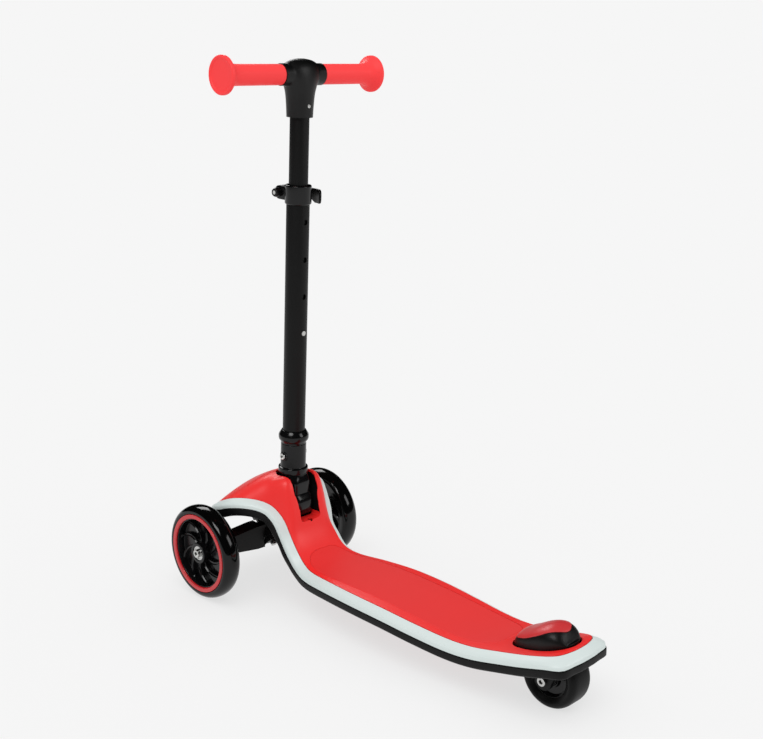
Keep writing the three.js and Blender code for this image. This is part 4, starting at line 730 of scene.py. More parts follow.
class Finishes:
    """The scooter's materials, made once."""

    def __init__(self, colours):
        self.cover = moulded("cover_red", colours.cover, 0.38, 0.12, 900, 0.03, level=0.35)
        self.pad = moulded("pad_red", colours.pad, 0.62, 0.55, 1300, 0.03, level=0.15)
        self.grip = moulded("grip_red", colours.grip, 0.5, 0.2, 1500, 0.03, level=0.2)
        self.ring = moulded("ring_red", colours.ring, 0.24, 0.05, 900, 0.04)
        self.inlay = moulded("inlay_red", colours.inlay, 0.38, 0.25, 1200, 0.03)
        self.band = moulded("band_clear", colours.band, 0.4, 0.08, 900, 0.01, level=0.4)
        self.base = moulded("base_black", colours.base, 0.5, 0.45, 900, 0.08, level=0.2)
        self.gloss = moulded("gloss_black", colours.gloss, 0.16, 0.08, 900, 0.08, level=0.3)
        self.satin = moulded("satin_black", colours.base, 0.4, 0.35, 1400, 0.08, level=0.28)
        self.tube = moulded("tube_black", colours.tube, 0.42, 0.25, 2200, 0.05, level=0.18)
        self.tyre = moulded("smoke_tyre", colours.tyre, 0.1, 0.03, 500, 0.1, level=0.28)
        self.rear = moulded("black_tyre", colours.rear, 0.42, 0.2, 900, 0.08, level=0.14)
        self.steel = moulded("bright_steel", colours.steel, 0.2, 0.06, 2600, 0.04, metal=1.0)
        self.dark = moulded("dark_seal", colours.base, 0.45, 0.2, 1500, 0.05, level=0.3)
        self.spring = moulded("spring_steel", colours.steel, 0.34, 0.1, 3000, 0.05, metal=1.0)


STUDIO = {}


def finishes():
    """The finishes, made at their first use."""
    if "made" not in STUDIO:
        STUDIO["made"] = Finishes(bpy.context.scene.scooter_colours)
    return STUDIO["made"]


def deck_shape():
    """The deck's shape, made at its first use."""
    if "deck" not in STUDIO:
        STUDIO["deck"] = Deck(bpy.context.scene.scooter_deck)
    return STUDIO["deck"]


# Pieces


def slot_half(sizes, z, margin):
    """Half the width of the fold slot at a height."""
    rise = sizes.slot_floor + sizes.slot_corner - z
    if rise > 0:
        inner = sizes.slot_half - sizes.slot_corner
        reach = sizes.slot_corner + margin
        return inner + math.sqrt(max(reach**2 - min(rise, reach) ** 2, 0.1e-6))
    t = clamped((z - sizes.slot_shoulder) / sizes.slot_widen)
    return margin + sizes.slot_half + (sizes.slot_top - sizes.slot_half) * eased(t)


def behind(share, more=0.0):
    """Place along the deck behind the front axle, by a share of the hump's length and some more."""
    return FRONT_AXLE.y - bpy.context.scene.scooter_deck.hump_length * share - more


def slot_shape(name, margin, back, ease=0.0):
    """The space of the fold slot: open above and behind, rounded in front, wider towards its top."""
    sizes = bpy.context.scene.scooter_deck
    deck = deck_shape()
    wide = sizes.slot_top + margin + ease
    centre = FOLD_PIVOT.y + bpy.context.scene.scooter_stem.ahead
    deep = FOLD_PIVOT.y + sizes.slot_reach + margin - centre
    floor = sizes.slot_floor - margin
    side, nose = 16, 24
    around = 2 * side + nose + 1
    levels = 48

    def ahead(x):
        return centre + deep * math.sqrt(max(1 - (x / wide) ** 2, 0))

    def outline(i, half):
        if i <= side:
            return (-half, back + (ahead(half) - back) * i / side)
        if i < side + nose:
            x = half * math.sin(math.pi / 2 * (2 * (i - side) / nose - 1))
            return (x, ahead(x))
        return (half, ahead(half) + (back - ahead(half)) * (i - side - nose) / side)

    def place(u, v):
        i = round(u * around) % around
        z = floor + (sizes.hump_height + 0.02 - floor) * v**1.3
        x, y = outline(i, slot_half(sizes, z, margin))
        if ease:
            depth = deck.height(x, y) - z
            grow = ease * max(0, 1 - max(depth, 0) / (1.4 * ease)) ** 2
            x, y = outline(i, slot_half(sizes, z, margin) + grow)
        return (x, y, z)

    return draped(name, around, levels, place)


class SCOOTER_OT_cover(bpy.types.Operator):
    """Models the red cover with its fold slot, pad recess and brake opening"""

    bl_idname = "scooter.cover"
    bl_label = "Deck Cover"

    def execute(self, context):
        sizes = context.scene.scooter_deck
        deck = deck_shape()
        cover = deck.slab("deck_cover_shell", lambda z: z, lambda z: z - sizes.wall, 120)
        well = slot_shape("well", 0.0024, behind(SLOT_END))
        filling = deck.slab("filling", lambda z: z - sizes.wall / 2, lambda z: min(z - 0.002, 0.105))
        combine(well, filling, "INTERSECT")
        combine(cover, well, "UNION")
        cut(cover, slot_shape("slot", 0.0, behind(1, 0.03), 0.0012))
        cut(cover, under_foot("under_foot", 0.001, sizes.slot_reach + 0.001))
        cut(cover, under_foot("heel_room", 0.007, 0.0165))
        cut(cover, pad_shape("recess", 0.0, -0.008, sizes.pad_depth))
        cut(cover, brake_plate("opening", -context.scene.scooter_brake.gap, 0.0, 6, 0.12, 0.04))
        ledge = (0, behind(SLOT_END) + sizes.drain_back, sizes.slot_floor - 0.01)
        cut(cover, rod("drain", sizes.drain, 0, 0.02, place=ledge))
        nose = (0, FRONT_AXLE.y + sizes.nose_length - 0.009, sizes.knob_height)
        cut(cover, rod("knob_hole", sizes.knob + GAP, 0, 0.06, axis=FORWARD, place=nose))
        cut(cover, housing_wall("housing_room", 0.0015, 0.0001))
        housing = housing_wall("stem_housing", 0.0013, 0.0)
        cut(housing, slot_shape("slot", 0.0, behind(1, 0.03)))
        finished(housing, finishes().base, "deck", ["deck_base"], 25)
        finished(cover, finishes().cover, "deck", ["deck_cover"])
        pad = pad_shape("foot_pad", GAP, -sizes.pad_proud, sizes.pad_depth - GAP, 0.0006)
        finished(pad, finishes().pad, "deck", ["deck_pad"])
        return {"FINISHED"}


def housing_wall(name, margin, more):
    """The space of the black stem housing, which lines the fold slot below the cover's red rim."""
    sizes = bpy.context.scene.scooter_deck
    housing = slot_shape(name, margin, behind(LINING_END, more))
    rim, low = sizes.wall - more, sizes.slot_floor + 0.007 - more
    below_rim = deck_shape().slab("below_rim", lambda z: z - rim, lambda z: min(z - rim - 0.0002, low))
    return combine(housing, below_rim, "INTERSECT")


def under_foot(name, rise, reach):
    """Room under the stem's foot, from the front of the ledge forward."""
    sizes = bpy.context.scene.scooter_deck
    half = sizes.slot_half + 0.001
    back, front = FOLD_PIVOT.y - sizes.ledge_front, FOLD_PIVOT.y + reach
    outline = [(-half, back), (half, back), (half, front), (-half, front)]
    return plate(name, outline, 0.03, Matrix.Translation((0, 0, sizes.slot_floor + rise - 0.03)))


def pad_shape(name, margin, high, low, ease=0.0):
    """The oval of the foot pad between two depths below the cover, with an eased upper edge."""
    sizes = bpy.context.scene.scooter_deck
    deck = deck_shape()
    rings, around, square = 34, 160, 4.2
    centre = FRONT_AXLE.y - (sizes.pad_front + sizes.pad_back) / 2
    half, reach = sizes.pad_half - margin, (sizes.pad_back - sizes.pad_front) / 2 - margin

    def place(u, v):
        k = v * (2 * rings + 1)
        share = min(1, min(k, 2 * rings + 1 - k) / rings)
        upper = k <= rings + 0.5
        drop = high if upper else low
        edge = (1 - share) * sizes.pad_half
        if upper and edge < ease:
            drop += ease * (1 - math.sqrt(1 - (1 - edge / ease) ** 2))
        across, along = squared(2 * math.pi * u, square)
        x, y = half * across * share, centre + reach * along * share
        return (x, y, deck.height(x, y) - drop)

    return draped(name, around, 2 * rings + 1, place)


def brake_row(place, inset, narrow=0.0):
    """Place along, half width and rise of the foot brake, with its outline drawn in."""
    sizes = bpy.context.scene.scooter_brake
    far = lambda row: (row[0], -row[1], row[2])
    along, half, rise = blend_rows([far(BRAKE[0]), *BRAKE, far(BRAKE[-1])], place)
    length = sizes.back - sizes.front - 2 * inset - narrow
    y = FRONT_AXLE.y - sizes.front - inset - length * along
    return (y, max(half, 0) * (sizes.half - inset - narrow * max(0, along) ** 4), rise)


def brake_plate(name, inset, narrow, steps, depth, low):
    """The foot brake's outline, drawn in and thickened upwards from a height."""
    count = len(BRAKE) * steps
    rows = [brake_row(0.5 + len(BRAKE) * i / count, inset, narrow) for i in range(count + 1)]
    outline = [(half, y) for y, half, rise in rows] + [(-half, y) for y, half, rise in rows[-2:0:-1]]
    return plate(name, outline, depth, Matrix.Translation((0, 0, low)))


class SCOOTER_OT_band(bpy.types.Operator):
    """Models the pale light band round the deck's edge"""

    bl_idname = "scooter.band"
    bl_label = "Light Band"

    def execute(self, context):
        sizes = context.scene.scooter_deck
        edge, corner, under = FINE, 0.0004, sizes.band_drop + FINE
        slope = [(sizes.band_out * out, sizes.band_drop * down) for out, down in drawn([(0, 0), *BAND], 16)]
        out, drop = slope[-1]
        turn_in = [(out - corner, drop + corner), (out - 0.0014, under), (edge + 0.0005, under)]
        profile = [(edge, edge), *slope[1:], *turn_in, (edge, sizes.band_drop)]
        band = deck_shape().carried("light_band_moulding", profile, sizes.band_spread)
        finished(band, finishes().band, "deck", ["light_band"])
        return {"FINISHED"}


class SCOOTER_OT_base(bpy.types.Operator):
    """Models the black base: a smooth lip round a copy of the base with its ribs and fork"""

    bl_idname = "scooter.base"
    bl_label = "Deck Base"

    def execute(self, context):
        sizes = context.scene.scooter_deck
        deck = deck_shape()
        inside, step, under = -0.0035, -0.0012, sizes.wall + 0.0008
        top = sizes.band_drop + sizes.lip_gap
        turn_in = top + sizes.lip_drop * 0.8
        lip = [
            (inside, under),
            (step, under),
            (step, top),
            (sizes.lip_out, top),
            (sizes.lip_out, turn_in),
            (sizes.lip_out * 0.75, top + sizes.lip_drop),
            (inside, turn_in),
        ]
        base = deck.carried("deck_base_lip", rounded(lip, 0.0016, 3), sizes.band_spread + 0.1)
        inner = copy_of("deck_base", "deck_base_inner")
        cut(inner, deck.slab("roof", lambda z: z + 0.03, lambda z: z - sizes.wall - 0.0004))
        cut(inner, slot_shape("room", 0.0028, behind(SLOT_END, 0.003)))
        reach, half = context.scene.scooter_stem.heel + 0.0008, sizes.slot_half + 0.001
        cut(inner, rod("sweep", reach, -half, half, 64, RIGHT, FOLD_PIVOT))
        finished(base, finishes().base, "deck", ["deck_base"])
        finished(inner, finishes().base, "deck", ["deck_base"], 25)
        return {"FINISHED"}


class SCOOTER_OT_front_wheels(bpy.types.Operator):
    """Models the front wheels: tyre, coloured ring, swirled core, bearing and axle bolt"""

    bl_idname = "scooter.front_wheels"
    bl_label = "Front Wheels"

    def execute(self, context):
        sizes = context.scene.scooter_wheels
        made = finishes()
        half, core_half = sizes.width / 2, sizes.core_width / 2
        seat = sizes.bore + sizes.ring
        face = half - sizes.rim / 2
        depth = sizes.radius - sizes.bore
        # The side is flat from the ring to a fine ridge, where it meets the tread
        side = [(sizes.bore + depth * out, half * across) for out, across in FRONT_SIDE]
        tyre_outline = [
            (sizes.bore, face),
            (seat, face),
            (seat + 0.0004, half - 0.0002),
            *side,
            *flipped(side),
            (sizes.bore + 0.001, -half + 0.0006),
            (sizes.bore, -half + 0.002),
        ]
        lap, proud = sizes.bore - sizes.ring_lap, half + sizes.ring_proud
        ring_outline = [
            (sizes.bore + GAP, face + GAP),
            (seat - GAP, face + GAP),
            (seat - GAP, proud),
            (sizes.bore - sizes.ring_lap * 0.6, proud),
            (lap, half - 0.0006),
            (lap, core_half + GAP),
            (sizes.bore + GAP, core_half + GAP),
        ]
        outer = core_half + 0.001
        for end, sign in (("left", -1), ("right", 1)):
            body, way = f"wheel_{end}", (sign, 0, 0)
            centre = Vector((sign * abs(middle("tyre_left").x), FRONT_AXLE.y, FRONT_AXLE.z))
            tyre = turned(f"front_tyre_{end}", tyre_outline, 160, 0.0012, way, centre)
            finished(tyre, made.tyre, body, [f"tyre_{end}"], 30)
            ring = turned(f"tyre_ring_{end}", ring_outline, 160, 0.0007, way, centre)
            finished(ring, made.ring, body, [f"wheel_ring_{end}"])
            core = tidy(lay(wheel_core(f"core_{end}", sizes), way, centre))
            finished(core, made.gloss, body, [f"wheel_core_{end}"])
            bearing = ball_bearing(f"ball_bearing_{end}", sizes.bearing, outer, way, centre)
            finished(bearing, made.steel, body, [f"outer_bearing_{end}"])
            place = centre + Vector(way) * (outer + GAP)
            bolt = socket_bolt(f"axle_screw_{end}", sizes.bolt, 0.0042, 0.0039, 0.03, way, place)
            finished(bolt, made.steel, "truck", [f"axle_bolt_{end}"])
        return {"FINISHED"}


def ball_bearing(name, radius, outer, way, centre):
    """The visible face of a ball bearing: outer race, dust shield and inner race."""
    back = outer - BEARING_WIDTH
    parts = (
        (name, wall(radius - 0.0022, radius, back, outer), 96, 0.0003),
        ("shield", wall(0.0062, radius - 0.002, back + 0.0005, outer - 0.0006), 96, 0),
        ("inner_race", wall(0.0043, 0.0064, back, outer), 64, 0.0003),
    )
    return joined(*[turned(*part, way, centre) for part in parts])


def socket_bolt(name, head, head_height, shank, length, axis, seat):
    """A socket-headed bolt whose head stands on a seat and looks along an axis."""
    outline = ((0, -length), (shank, -length), (shank, 0), (head, 0), (head, head_height), (0, head_height))
    bolt = turned(name, outline, 64, FINE)
    deselect()
    bpy.ops.mesh.primitive_cylinder_add(vertices=6, radius=head * 0.56, depth=head_height * 1.2)
    cut(bolt, settle(bpy.context.object, Matrix.Translation((0, 0, head_height))))
    return tidy(lay(bolt, axis, seat))


def wheel_core(name, sizes):
    """A wheel core about Z, with its outer face towards +Z: rim, web, hub and swirled double spokes."""
    half, web = sizes.core_width / 2, sizes.web / 2
    hub_half = half + 0.002
    rim_outer = sizes.bore - 0.0006
    rim_inner = rim_outer - sizes.rim
    seat = sizes.bearing + GAP
    deep = hub_half - 0.001 - BEARING_WIDTH - GAP
    near = [
        (sizes.bearing - 0.002, deep),
        (seat, deep),
        (seat, hub_half),
        (sizes.hub - 0.001, hub_half),
        (sizes.hub, web),
        (rim_inner + 0.001, web),
        (rim_inner + 0.003, half),
        (rim_outer, half),
    ]
    parts = [turned(name, near + flipped(near), 144, FINE)]
    start = sizes.hub - sizes.spoke
    reach = rim_inner + 0.0022 - start
    steps = 14

    def edge(side):
        """One long side of a spoke, from the hub to the rim."""
        points = []
        for i in range(steps + 1):
            share = i / steps
            radius = start + reach * share
            angle = sizes.sweep * share**1.5 + side * sizes.spoke * 0.8 / radius
            points.append((radius * math.cos(angle), radius * math.sin(angle)))
        return points

    outline = edge(-1) + edge(1)[::-1]
    for i in range(sizes.spokes):
        spin = Matrix.Rotation(2 * math.pi * i / sizes.spokes, 4, "Z")
        for side in (spin, spin @ Matrix.Scale(-1, 4, UP)):
            spoke = plate("spoke", outline, sizes.spoke_height, side, 0.0011, 0.0022)
            parts.append(soften(spoke, 0.0004, 2))
    return joined(*parts)


class SCOOTER_OT_rear_wheel(bpy.types.Operator):
    """Models the rear wheel with its dished core, bearings and axle bolt"""

    bl_idname = "scooter.rear_wheel"
    bl_label = "Rear Wheel"

    def execute(self, context):
        sizes = context.scene.scooter_wheels
        made = finishes()
        half, core = sizes.rear_width / 2, sizes.rear_core + 0.0006
        depth = sizes.rear_radius - core
        side = drawn([(core + depth * out, half * across) for out, across in REAR_SIDE], 20)
        tyre = turned("rear_wheel_tyre", side + flipped(side), 128, 0, LEFT, REAR_AXLE)
        finished(tyre, made.rear, "wheel_rear", ["rear_tyre"])
        rim = half * 0.78
        dish = rim - 0.006
        hub = half - 0.0048
        seat = sizes.bearing + GAP
        deep = hub - 0.001 - BEARING_WIDTH - GAP
        near = [
            (sizes.bearing - 0.002, deep),
            (seat, deep),
            (seat, hub),
            (sizes.bearing + 0.003, hub),
            (sizes.bearing + 0.004, dish),
            (sizes.rear_core - 0.003, dish),
            (sizes.rear_core - 0.0008, rim),
            (sizes.rear_core, rim),
        ]
        disc = turned("rear_wheel_core", near + flipped(near), 128, FINE, LEFT, REAR_AXLE)
        finished(disc, made.gloss, "wheel_rear", ["rear_core"])
        for end, way in (("left", LEFT), ("right", RIGHT)):
            bearing = ball_bearing(f"rear_ball_bearing_{end}", sizes.bearing, hub - 0.001, way, REAR_AXLE)
            finished(bearing, made.dark, "wheel_rear", [f"rear_bearing_{end}"])
        low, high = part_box("rear_axle")
        seat = Vector((low[0] + 0.004, REAR_AXLE.y, REAR_AXLE.z))
        bolt = socket_bolt("rear_axle_bolt", 0.0062, 0.004, 0.0039, high[0] - seat.x, LEFT, seat)
        finished(bolt, made.steel, "deck", ["rear_axle"])
        return {"FINISHED"}


class SCOOTER_OT_brake(bpy.types.Operator):
    """Models the foot brake and its red inlay"""

    bl_idname = "scooter.brake"
    bl_label = "Foot Brake"

    def execute(self, context):
        sizes = context.scene.scooter_brake
        made = finishes()
        pedal = brake_dome("foot_brake", 0, 0, sizes.skirt)
        shoe = copy_of("brake_pedal", "shoe")
        combine(shoe, brake_dome("inside", 0.001, 0.001, 0.06), "INTERSECT")
        combine(pedal, shoe, "UNION")
        cut(pedal, inlay_shape("room", 0.0, 0.002, 0.02))
        finished(pedal, made.satin, "brake", ["brake_pedal"])
        inlay = inlay_shape("brake_top_inlay", GAP, 0.0017, -sizes.proud)
        finished(soften(inlay, FINE, 2), made.inlay, "brake", ["brake_inlay"])
        return {"FINISHED"}


def brake_dome(name, inset, lower, depth):
    """The dome of the foot brake over the deck's surface, reaching a depth below it."""
    sizes = bpy.context.scene.scooter_brake
    deck = deck_shape()
    front = deck.height(0, FRONT_AXLE.y - sizes.front)
    rows, arch, full = len(BRAKE) * 10, 64, 0.65

    def place(u, v):
        y, half, rise = brake_row(0.5 + len(BRAKE) * v, inset)
        foot = deck.height(0, y)
        top = max(front + (sizes.top - front) * rise, foot + sizes.skirt) - lower
        k = u * (arch + 2)
        if k < 0.5 or k > arch + 1.5:
            return (-half, y, foot - depth)
        if k > arch + 0.5:
            return (half, y, foot - depth)
        angle = math.pi * ((k - 1) / (arch - 1) - 0.5)
        edge = min(1, half / END_HALF) ** 0.5
        z = foot + (top - foot) * edge * max(math.cos(angle), 0) ** full
        return (half * math.sin(angle), y, z)

    return draped(name, arch + 2, rows, place)


def inlay_shape(name, margin, thickness, high):
    """The inlay in the top of the foot brake, between a depth and a height of its dome."""
    sizes = bpy.context.scene.scooter_brake
    prism = brake_plate(name, sizes.inset + margin, sizes.narrow, 8, 0.1, 0.06)
    if high <= 0:
        combine(prism, brake_dome("cap", high, high, 0.004), "INTERSECT")
    return cut(prism, brake_dome("under", thickness, thickness, 0.03))


def stem_frame():
    """From the stem's own frame, whose origin is the fold pivot, to the scooter's."""
    lean = bpy.context.scene.scooter_stem.lean
    return Matrix.Translation(FOLD_PIVOT) @ Matrix.Rotation(lean, 4, "X")


def on_stem(piece):
    """Takes a piece from the stem's own frame to its place on the scooter."""
    return settle(piece, stem_frame())


def rear_hole(tube, height, radius, sides=48):
    """Cuts a hole into the rear of a tube of the stem, in the stem's own frame."""
    place = (0, bpy.context.scene.scooter_stem.ahead, height)
    return cut(tube, rod("hole", radius, 0.004, 0.03, sides, BACKWARD, place))


class SCOOTER_OT_stem(bpy.types.Operator):
    """Models the stem's foot, sleeve, ring and lower tube with its height holes"""

    bl_idname = "scooter.stem"
    bl_label = "Stem"

    def execute(self, context):
        s = context.scene.scooter_stem
        made = finishes()
        axis, inner = (0, s.ahead, 0), s.lower + GAP
        collar_outline = (
            (0, s.flare_bottom - 0.004),
            (s.flare - 0.0045, s.flare_bottom - 0.002),
            (s.flare - 0.0008, s.flare_bottom),
            (s.flare, s.flare_bottom + 0.0012),
            (s.flare, s.flare_top - 0.0008),
            (s.flare - 0.0008, s.flare_top),
            (s.sleeve + 0.0004, s.flare_top + 0.0004),
            (s.sleeve, s.flare_top + 0.0014),
            (s.sleeve, s.sleeve_top),
            (inner, s.sleeve_top),
            (inner, s.sleeve_top - 0.03),
            (0, s.sleeve_top - 0.03),
        )
        foot = stem_foot("stem_foot", s)
        combine(foot, turned("collar", collar_outline, 128, 0.0005, place=axis), "UNION")
        cut(foot, rod("pin_hole", 0.0053, -0.02, 0.02, axis=RIGHT))
        boss_place = (-s.sleeve, s.ahead, s.cross_bolt)
        boss = turned("boss", wall(0.0054, 0.0074, -0.004, 0.0012), 64, FINE, LEFT, boss_place)
        finished(on_stem(joined(foot, boss)), made.gloss, "stem", ["fold_knuckle"])
        low = s.sleeve_top + GAP
        tall = s.ring_top - low
        ring_outline = (
            (inner, low),
            (s.sleeve, low),
            (s.sleeve, low + tall * 0.12),
            (s.ring - 0.0006, low + tall * 0.3),
            (s.ring, low + tall * 0.42),
            (s.ring, low + tall * 0.6),
            (s.ring - 0.0006, low + tall * 0.7),
            (s.sleeve + 0.0004, low + tall * 0.9),
            (s.lower + 0.0012, s.ring_top),
            (inner, s.ring_top),
        )
        ring = turned("sleeve_ring", ring_outline, 128, 0.001, place=axis)
        finished(on_stem(ring), made.gloss, "stem", ["stem_ring"])
        tube_outline = wall(s.lower_bore, s.lower, 0.062, s.lower_top)
        tube = turned("stem_lower_tube", tube_outline, 128, 0.0004, place=axis)
        for i in range(s.holes):
            rear_hole(tube, s.first_hole + i * s.pitch, s.hole)
        finished(on_stem(tube), made.tube, "stem", ["lower_tube"])
        seat = (-s.sleeve - GAP, s.ahead, s.cross_bolt)
        bolt = socket_bolt("sleeve_bolt", 0.005, 0.0036, 0.0029, 2 * s.sleeve + 0.004, LEFT, seat)
        finished(on_stem(bolt), made.steel, "stem", ["stem_bolt"])
        return {"FINISHED"}


def stem_foot(name, s):
    """The foot of the stem: a broad block with a round heel that grows into the round flare."""
    bottom, top = -s.foot_round, s.flare_bottom + 0.001
    around, levels = 96, 72
    neck, grow_from, square_foot, square_lost = s.flare - 0.0025, 0.033, 4.8, 2.8

    def place(u, v):
        z = bottom - 0.001 + (top - bottom + 0.001) * v
        grow = eased(clamped((z - grow_from) / (top - grow_from)))
        half = s.foot_half + (neck - s.foot_half) * grow
        back = max(s.foot_back, math.sqrt(max(s.heel**2 - z**2, 0)))
        back += (neck - s.ahead - back) * grow
        front = s.foot_front + (neck + s.ahead - s.foot_front) * grow
        across, along = squared(2 * math.pi * u, square_foot - square_lost * grow)
        return (half * across, along * (front if along > 0 else back), z)

    foot = draped(name, around, levels, place)
    # Underside seen from the side: the heel's arc, a flat, and a smaller arc in front
    fall, steps = math.asin(s.foot_round / s.heel), 20
    heel = [fall * i / steps for i in range(steps)]
    toe = [math.pi / 2 * i / steps for i in range(steps)]
    outline = [(0.05, 0.1), (-0.05, 0.1), (-0.05, 0)]
    outline += [(-s.heel * math.cos(a), -s.heel * math.sin(a)) for a in heel]
    outline += [(s.foot_round * math.sin(a), -s.foot_round * math.cos(a)) for a in toe]
    outline += [(s.foot_front + 0.0007, 0.0036), (0.05, 0.0037)]
    side = plate("side", outline, 0.08, axes(FORWARD, UP, RIGHT, (-0.04, 0, 0)))
    return combine(foot, side, "INTERSECT")


class SCOOTER_OT_clamp(bpy.types.Operator):
    """Models the clamp at the top of the lower tube, with its nut and lever"""

    bl_idname = "scooter.clamp"
    bl_label = "Clamp"

    def execute(self, context):
        s = context.scene.scooter_stem
        made = finishes()
        inner = s.lower + GAP
        middle_z = (s.clamp_bottom + s.clamp_top) / 2
        ring_outline = (
            (inner, s.clamp_bottom),
            (s.clamp - 0.0012, s.clamp_bottom),
            (s.clamp, s.clamp_bottom + 0.0014),
            (s.clamp, s.clamp_top - 0.0014),
            (s.clamp - 0.0012, s.clamp_top),
            (inner, s.clamp_top),
        )
        clamp = turned("clamp_ring", ring_outline, 128, FINE, place=(0, s.ahead, 0))
        bolt_y = s.ahead + s.clamp + s.ear / 2
        half = s.ear_height / 2
        root = s.ahead + s.lower + 0.0006
        front = [math.pi * (i / 24 - 0.5) for i in range(1, 24)]
        outline = [(root, -half), (bolt_y, -half)]
        outline += [(bolt_y + half * math.cos(a), half * math.sin(a)) for a in front]
        outline += [(bolt_y, half), (root, half)]
        width = 2 * s.ear_width + s.slit
        ears = plate("ears", outline, width, axes(FORWARD, UP, RIGHT, (-width / 2, 0, middle_z)))
        combine(clamp, soften(ears, 0.0008), "UNION")
        slit = [(-s.slit / 2, s.ahead), (s.slit / 2, s.ahead), (s.slit / 2, 0.2), (-s.slit / 2, 0.2)]
        cut(clamp, plate("slit", slit, 0.06, Matrix.Translation((0, 0, s.clamp_bottom - 0.01))))
        finished(on_stem(clamp), made.gloss, "stem", ["clamp_collar"])
        start, bore, tall = s.slit / 2 + s.ear_width + GAP, 0.0032, s.nut_length
        nut_outline = ((bore, 0), (s.nut, 0), (s.nut, tall * 0.72), (s.nut * 0.82, tall), (bore, tall))
        nut = turned("clamp_round_nut", nut_outline, 64, 0.0005, LEFT, (-start, bolt_y, middle_z))
        finished(on_stem(nut), made.satin, "stem", ["clamp_nut"])
        lever = lever_shape("clamp_paddle", s, start + 0.0064, bolt_y, middle_z)
        finished(on_stem(lever), made.satin, "lever", ["clamp_lever"])
        return {"FINISHED"}


def lever_shape(name, s, pin_x, bolt_y, middle_z):
    """The lever: an arm that bends round the clamp and widens into a paddle."""
    ahead = bolt_y - s.ahead
    start_radius, start_angle = math.hypot(pin_x, ahead), math.atan2(ahead, pin_x)
    section, steps, square = 32, 60, 3.4
    # Shares of the lever's length over which its two ends are rounded
    start_part, end_part = 0.08, 0.14

    def place(u, v):
        angle = start_angle + (s.lever_angle - start_angle) * v
        radius = start_radius + (s.lever_end - start_radius) * v - 0.002 * math.sin(math.pi * v)
        x, y = radius * math.cos(angle), s.ahead + radius * math.sin(angle)
        widen = clamped((s.ahead + s.clamp * 0.45 - y) / (s.clamp * 0.55)) ** 0.7
        end = 1 - clamped((v + end_part - 1) / end_part) ** 3
        start = 1 - clamped((start_part - v) / start_part) ** 2
        tall = s.lever_low / 2 + (s.lever_high - s.lever_low) / 2 * widen
        tall *= max(0.001, end) ** 0.5
        out, rise = squared(2 * math.pi * u, square)
        out *= s.lever_thick / 2 * min(end, start) ** 0.5
        z = middle_z - s.lever_droop * widen + tall * rise
        return (x + out * math.cos(angle), y + out * math.sin(angle), z)

    lever = draped(name, section, steps, place)
    pin, low = (pin_x, bolt_y, middle_z), s.lever_low / 2
    bore, barrel, groove = 0.0032, 0.0064, 0.0034
    combine(lever, turned("boss", wall(bore, barrel, -low, low), 64, FINE, place=pin), "UNION")
    cut(lever, rod("slot", barrel + GAP, -groove, groove, 64, place=pin))
    return cut(lever, rod("hole", bore + 0.0001, -0.02, 0.02, place=pin))


class SCOOTER_OT_handlebar(bpy.types.Operator):
    """Models the upper tube, the tee and the grips"""

    bl_idname = "scooter.handlebar"
    bl_label = "Handlebar"

    def execute(self, context):
        s, bar = context.scene.scooter_stem, context.scene.scooter_bar
        made = finishes()
        tube_outline = wall(s.upper_bore, s.upper, s.upper_foot, bar.height - bar.bar - 0.0021)
        tube = turned("stem_upper_tube", tube_outline, 128, 0.0004, place=(0, s.ahead, 0))
        rear_hole(tube, s.first_hole, s.hole)
        rear_hole(tube, bar.screw_height, 0.0029, 32)
        finished(on_stem(tube), made.tube, "handle", ["upper_tube"])
        tee = tee_shape("handlebar_tee_moulding", s, bar)
        finished(on_stem(tee), made.satin, "handle", ["handlebar_tee"], 32)
        seat = (0, s.ahead - bar.tee * 1.05 + 0.0008, bar.screw_height)
        screw = socket_bolt("tee_socket_screw", bar.screw, 0.0008, bar.screw * 0.9, 0.008, BACKWARD, seat)
        finished(on_stem(screw), made.steel, "handle", ["tee_screw"])
        start, bore, bar_end = bar.arm_reach + GAP, bar.bar + GAP, 0.1343
        outline = [(bore, start), (bar.grip - 0.0004, start), (bar.grip, start + 0.0006)]
        flare = bar.flange - bar.grip
        outline += [(bar.grip + flare * out, bar.span - bar.flange_width * back) for out, back in GRIP_FLARE]
        outline += [
            (bar.flange * 0.965, bar.span),
            (bar.flange * 0.86, bar.span),
            (bar.flange * 0.8, bar.span - 0.0014),
            (bar.flange * 0.5, bar.span - 0.002),
            (0, bar.span - 0.002),
            (0, bar_end),
            (bore, bar_end),
        ]
        for end, way in (("left", LEFT), ("right", RIGHT)):
            grip = turned(f"hand_grip_{end}", outline, 128, 0.0012, way, (0, s.ahead, bar.height))
            finished(on_stem(grip), made.grip, "handle", [f"grip_{end}"])
        return {"FINISHED"}


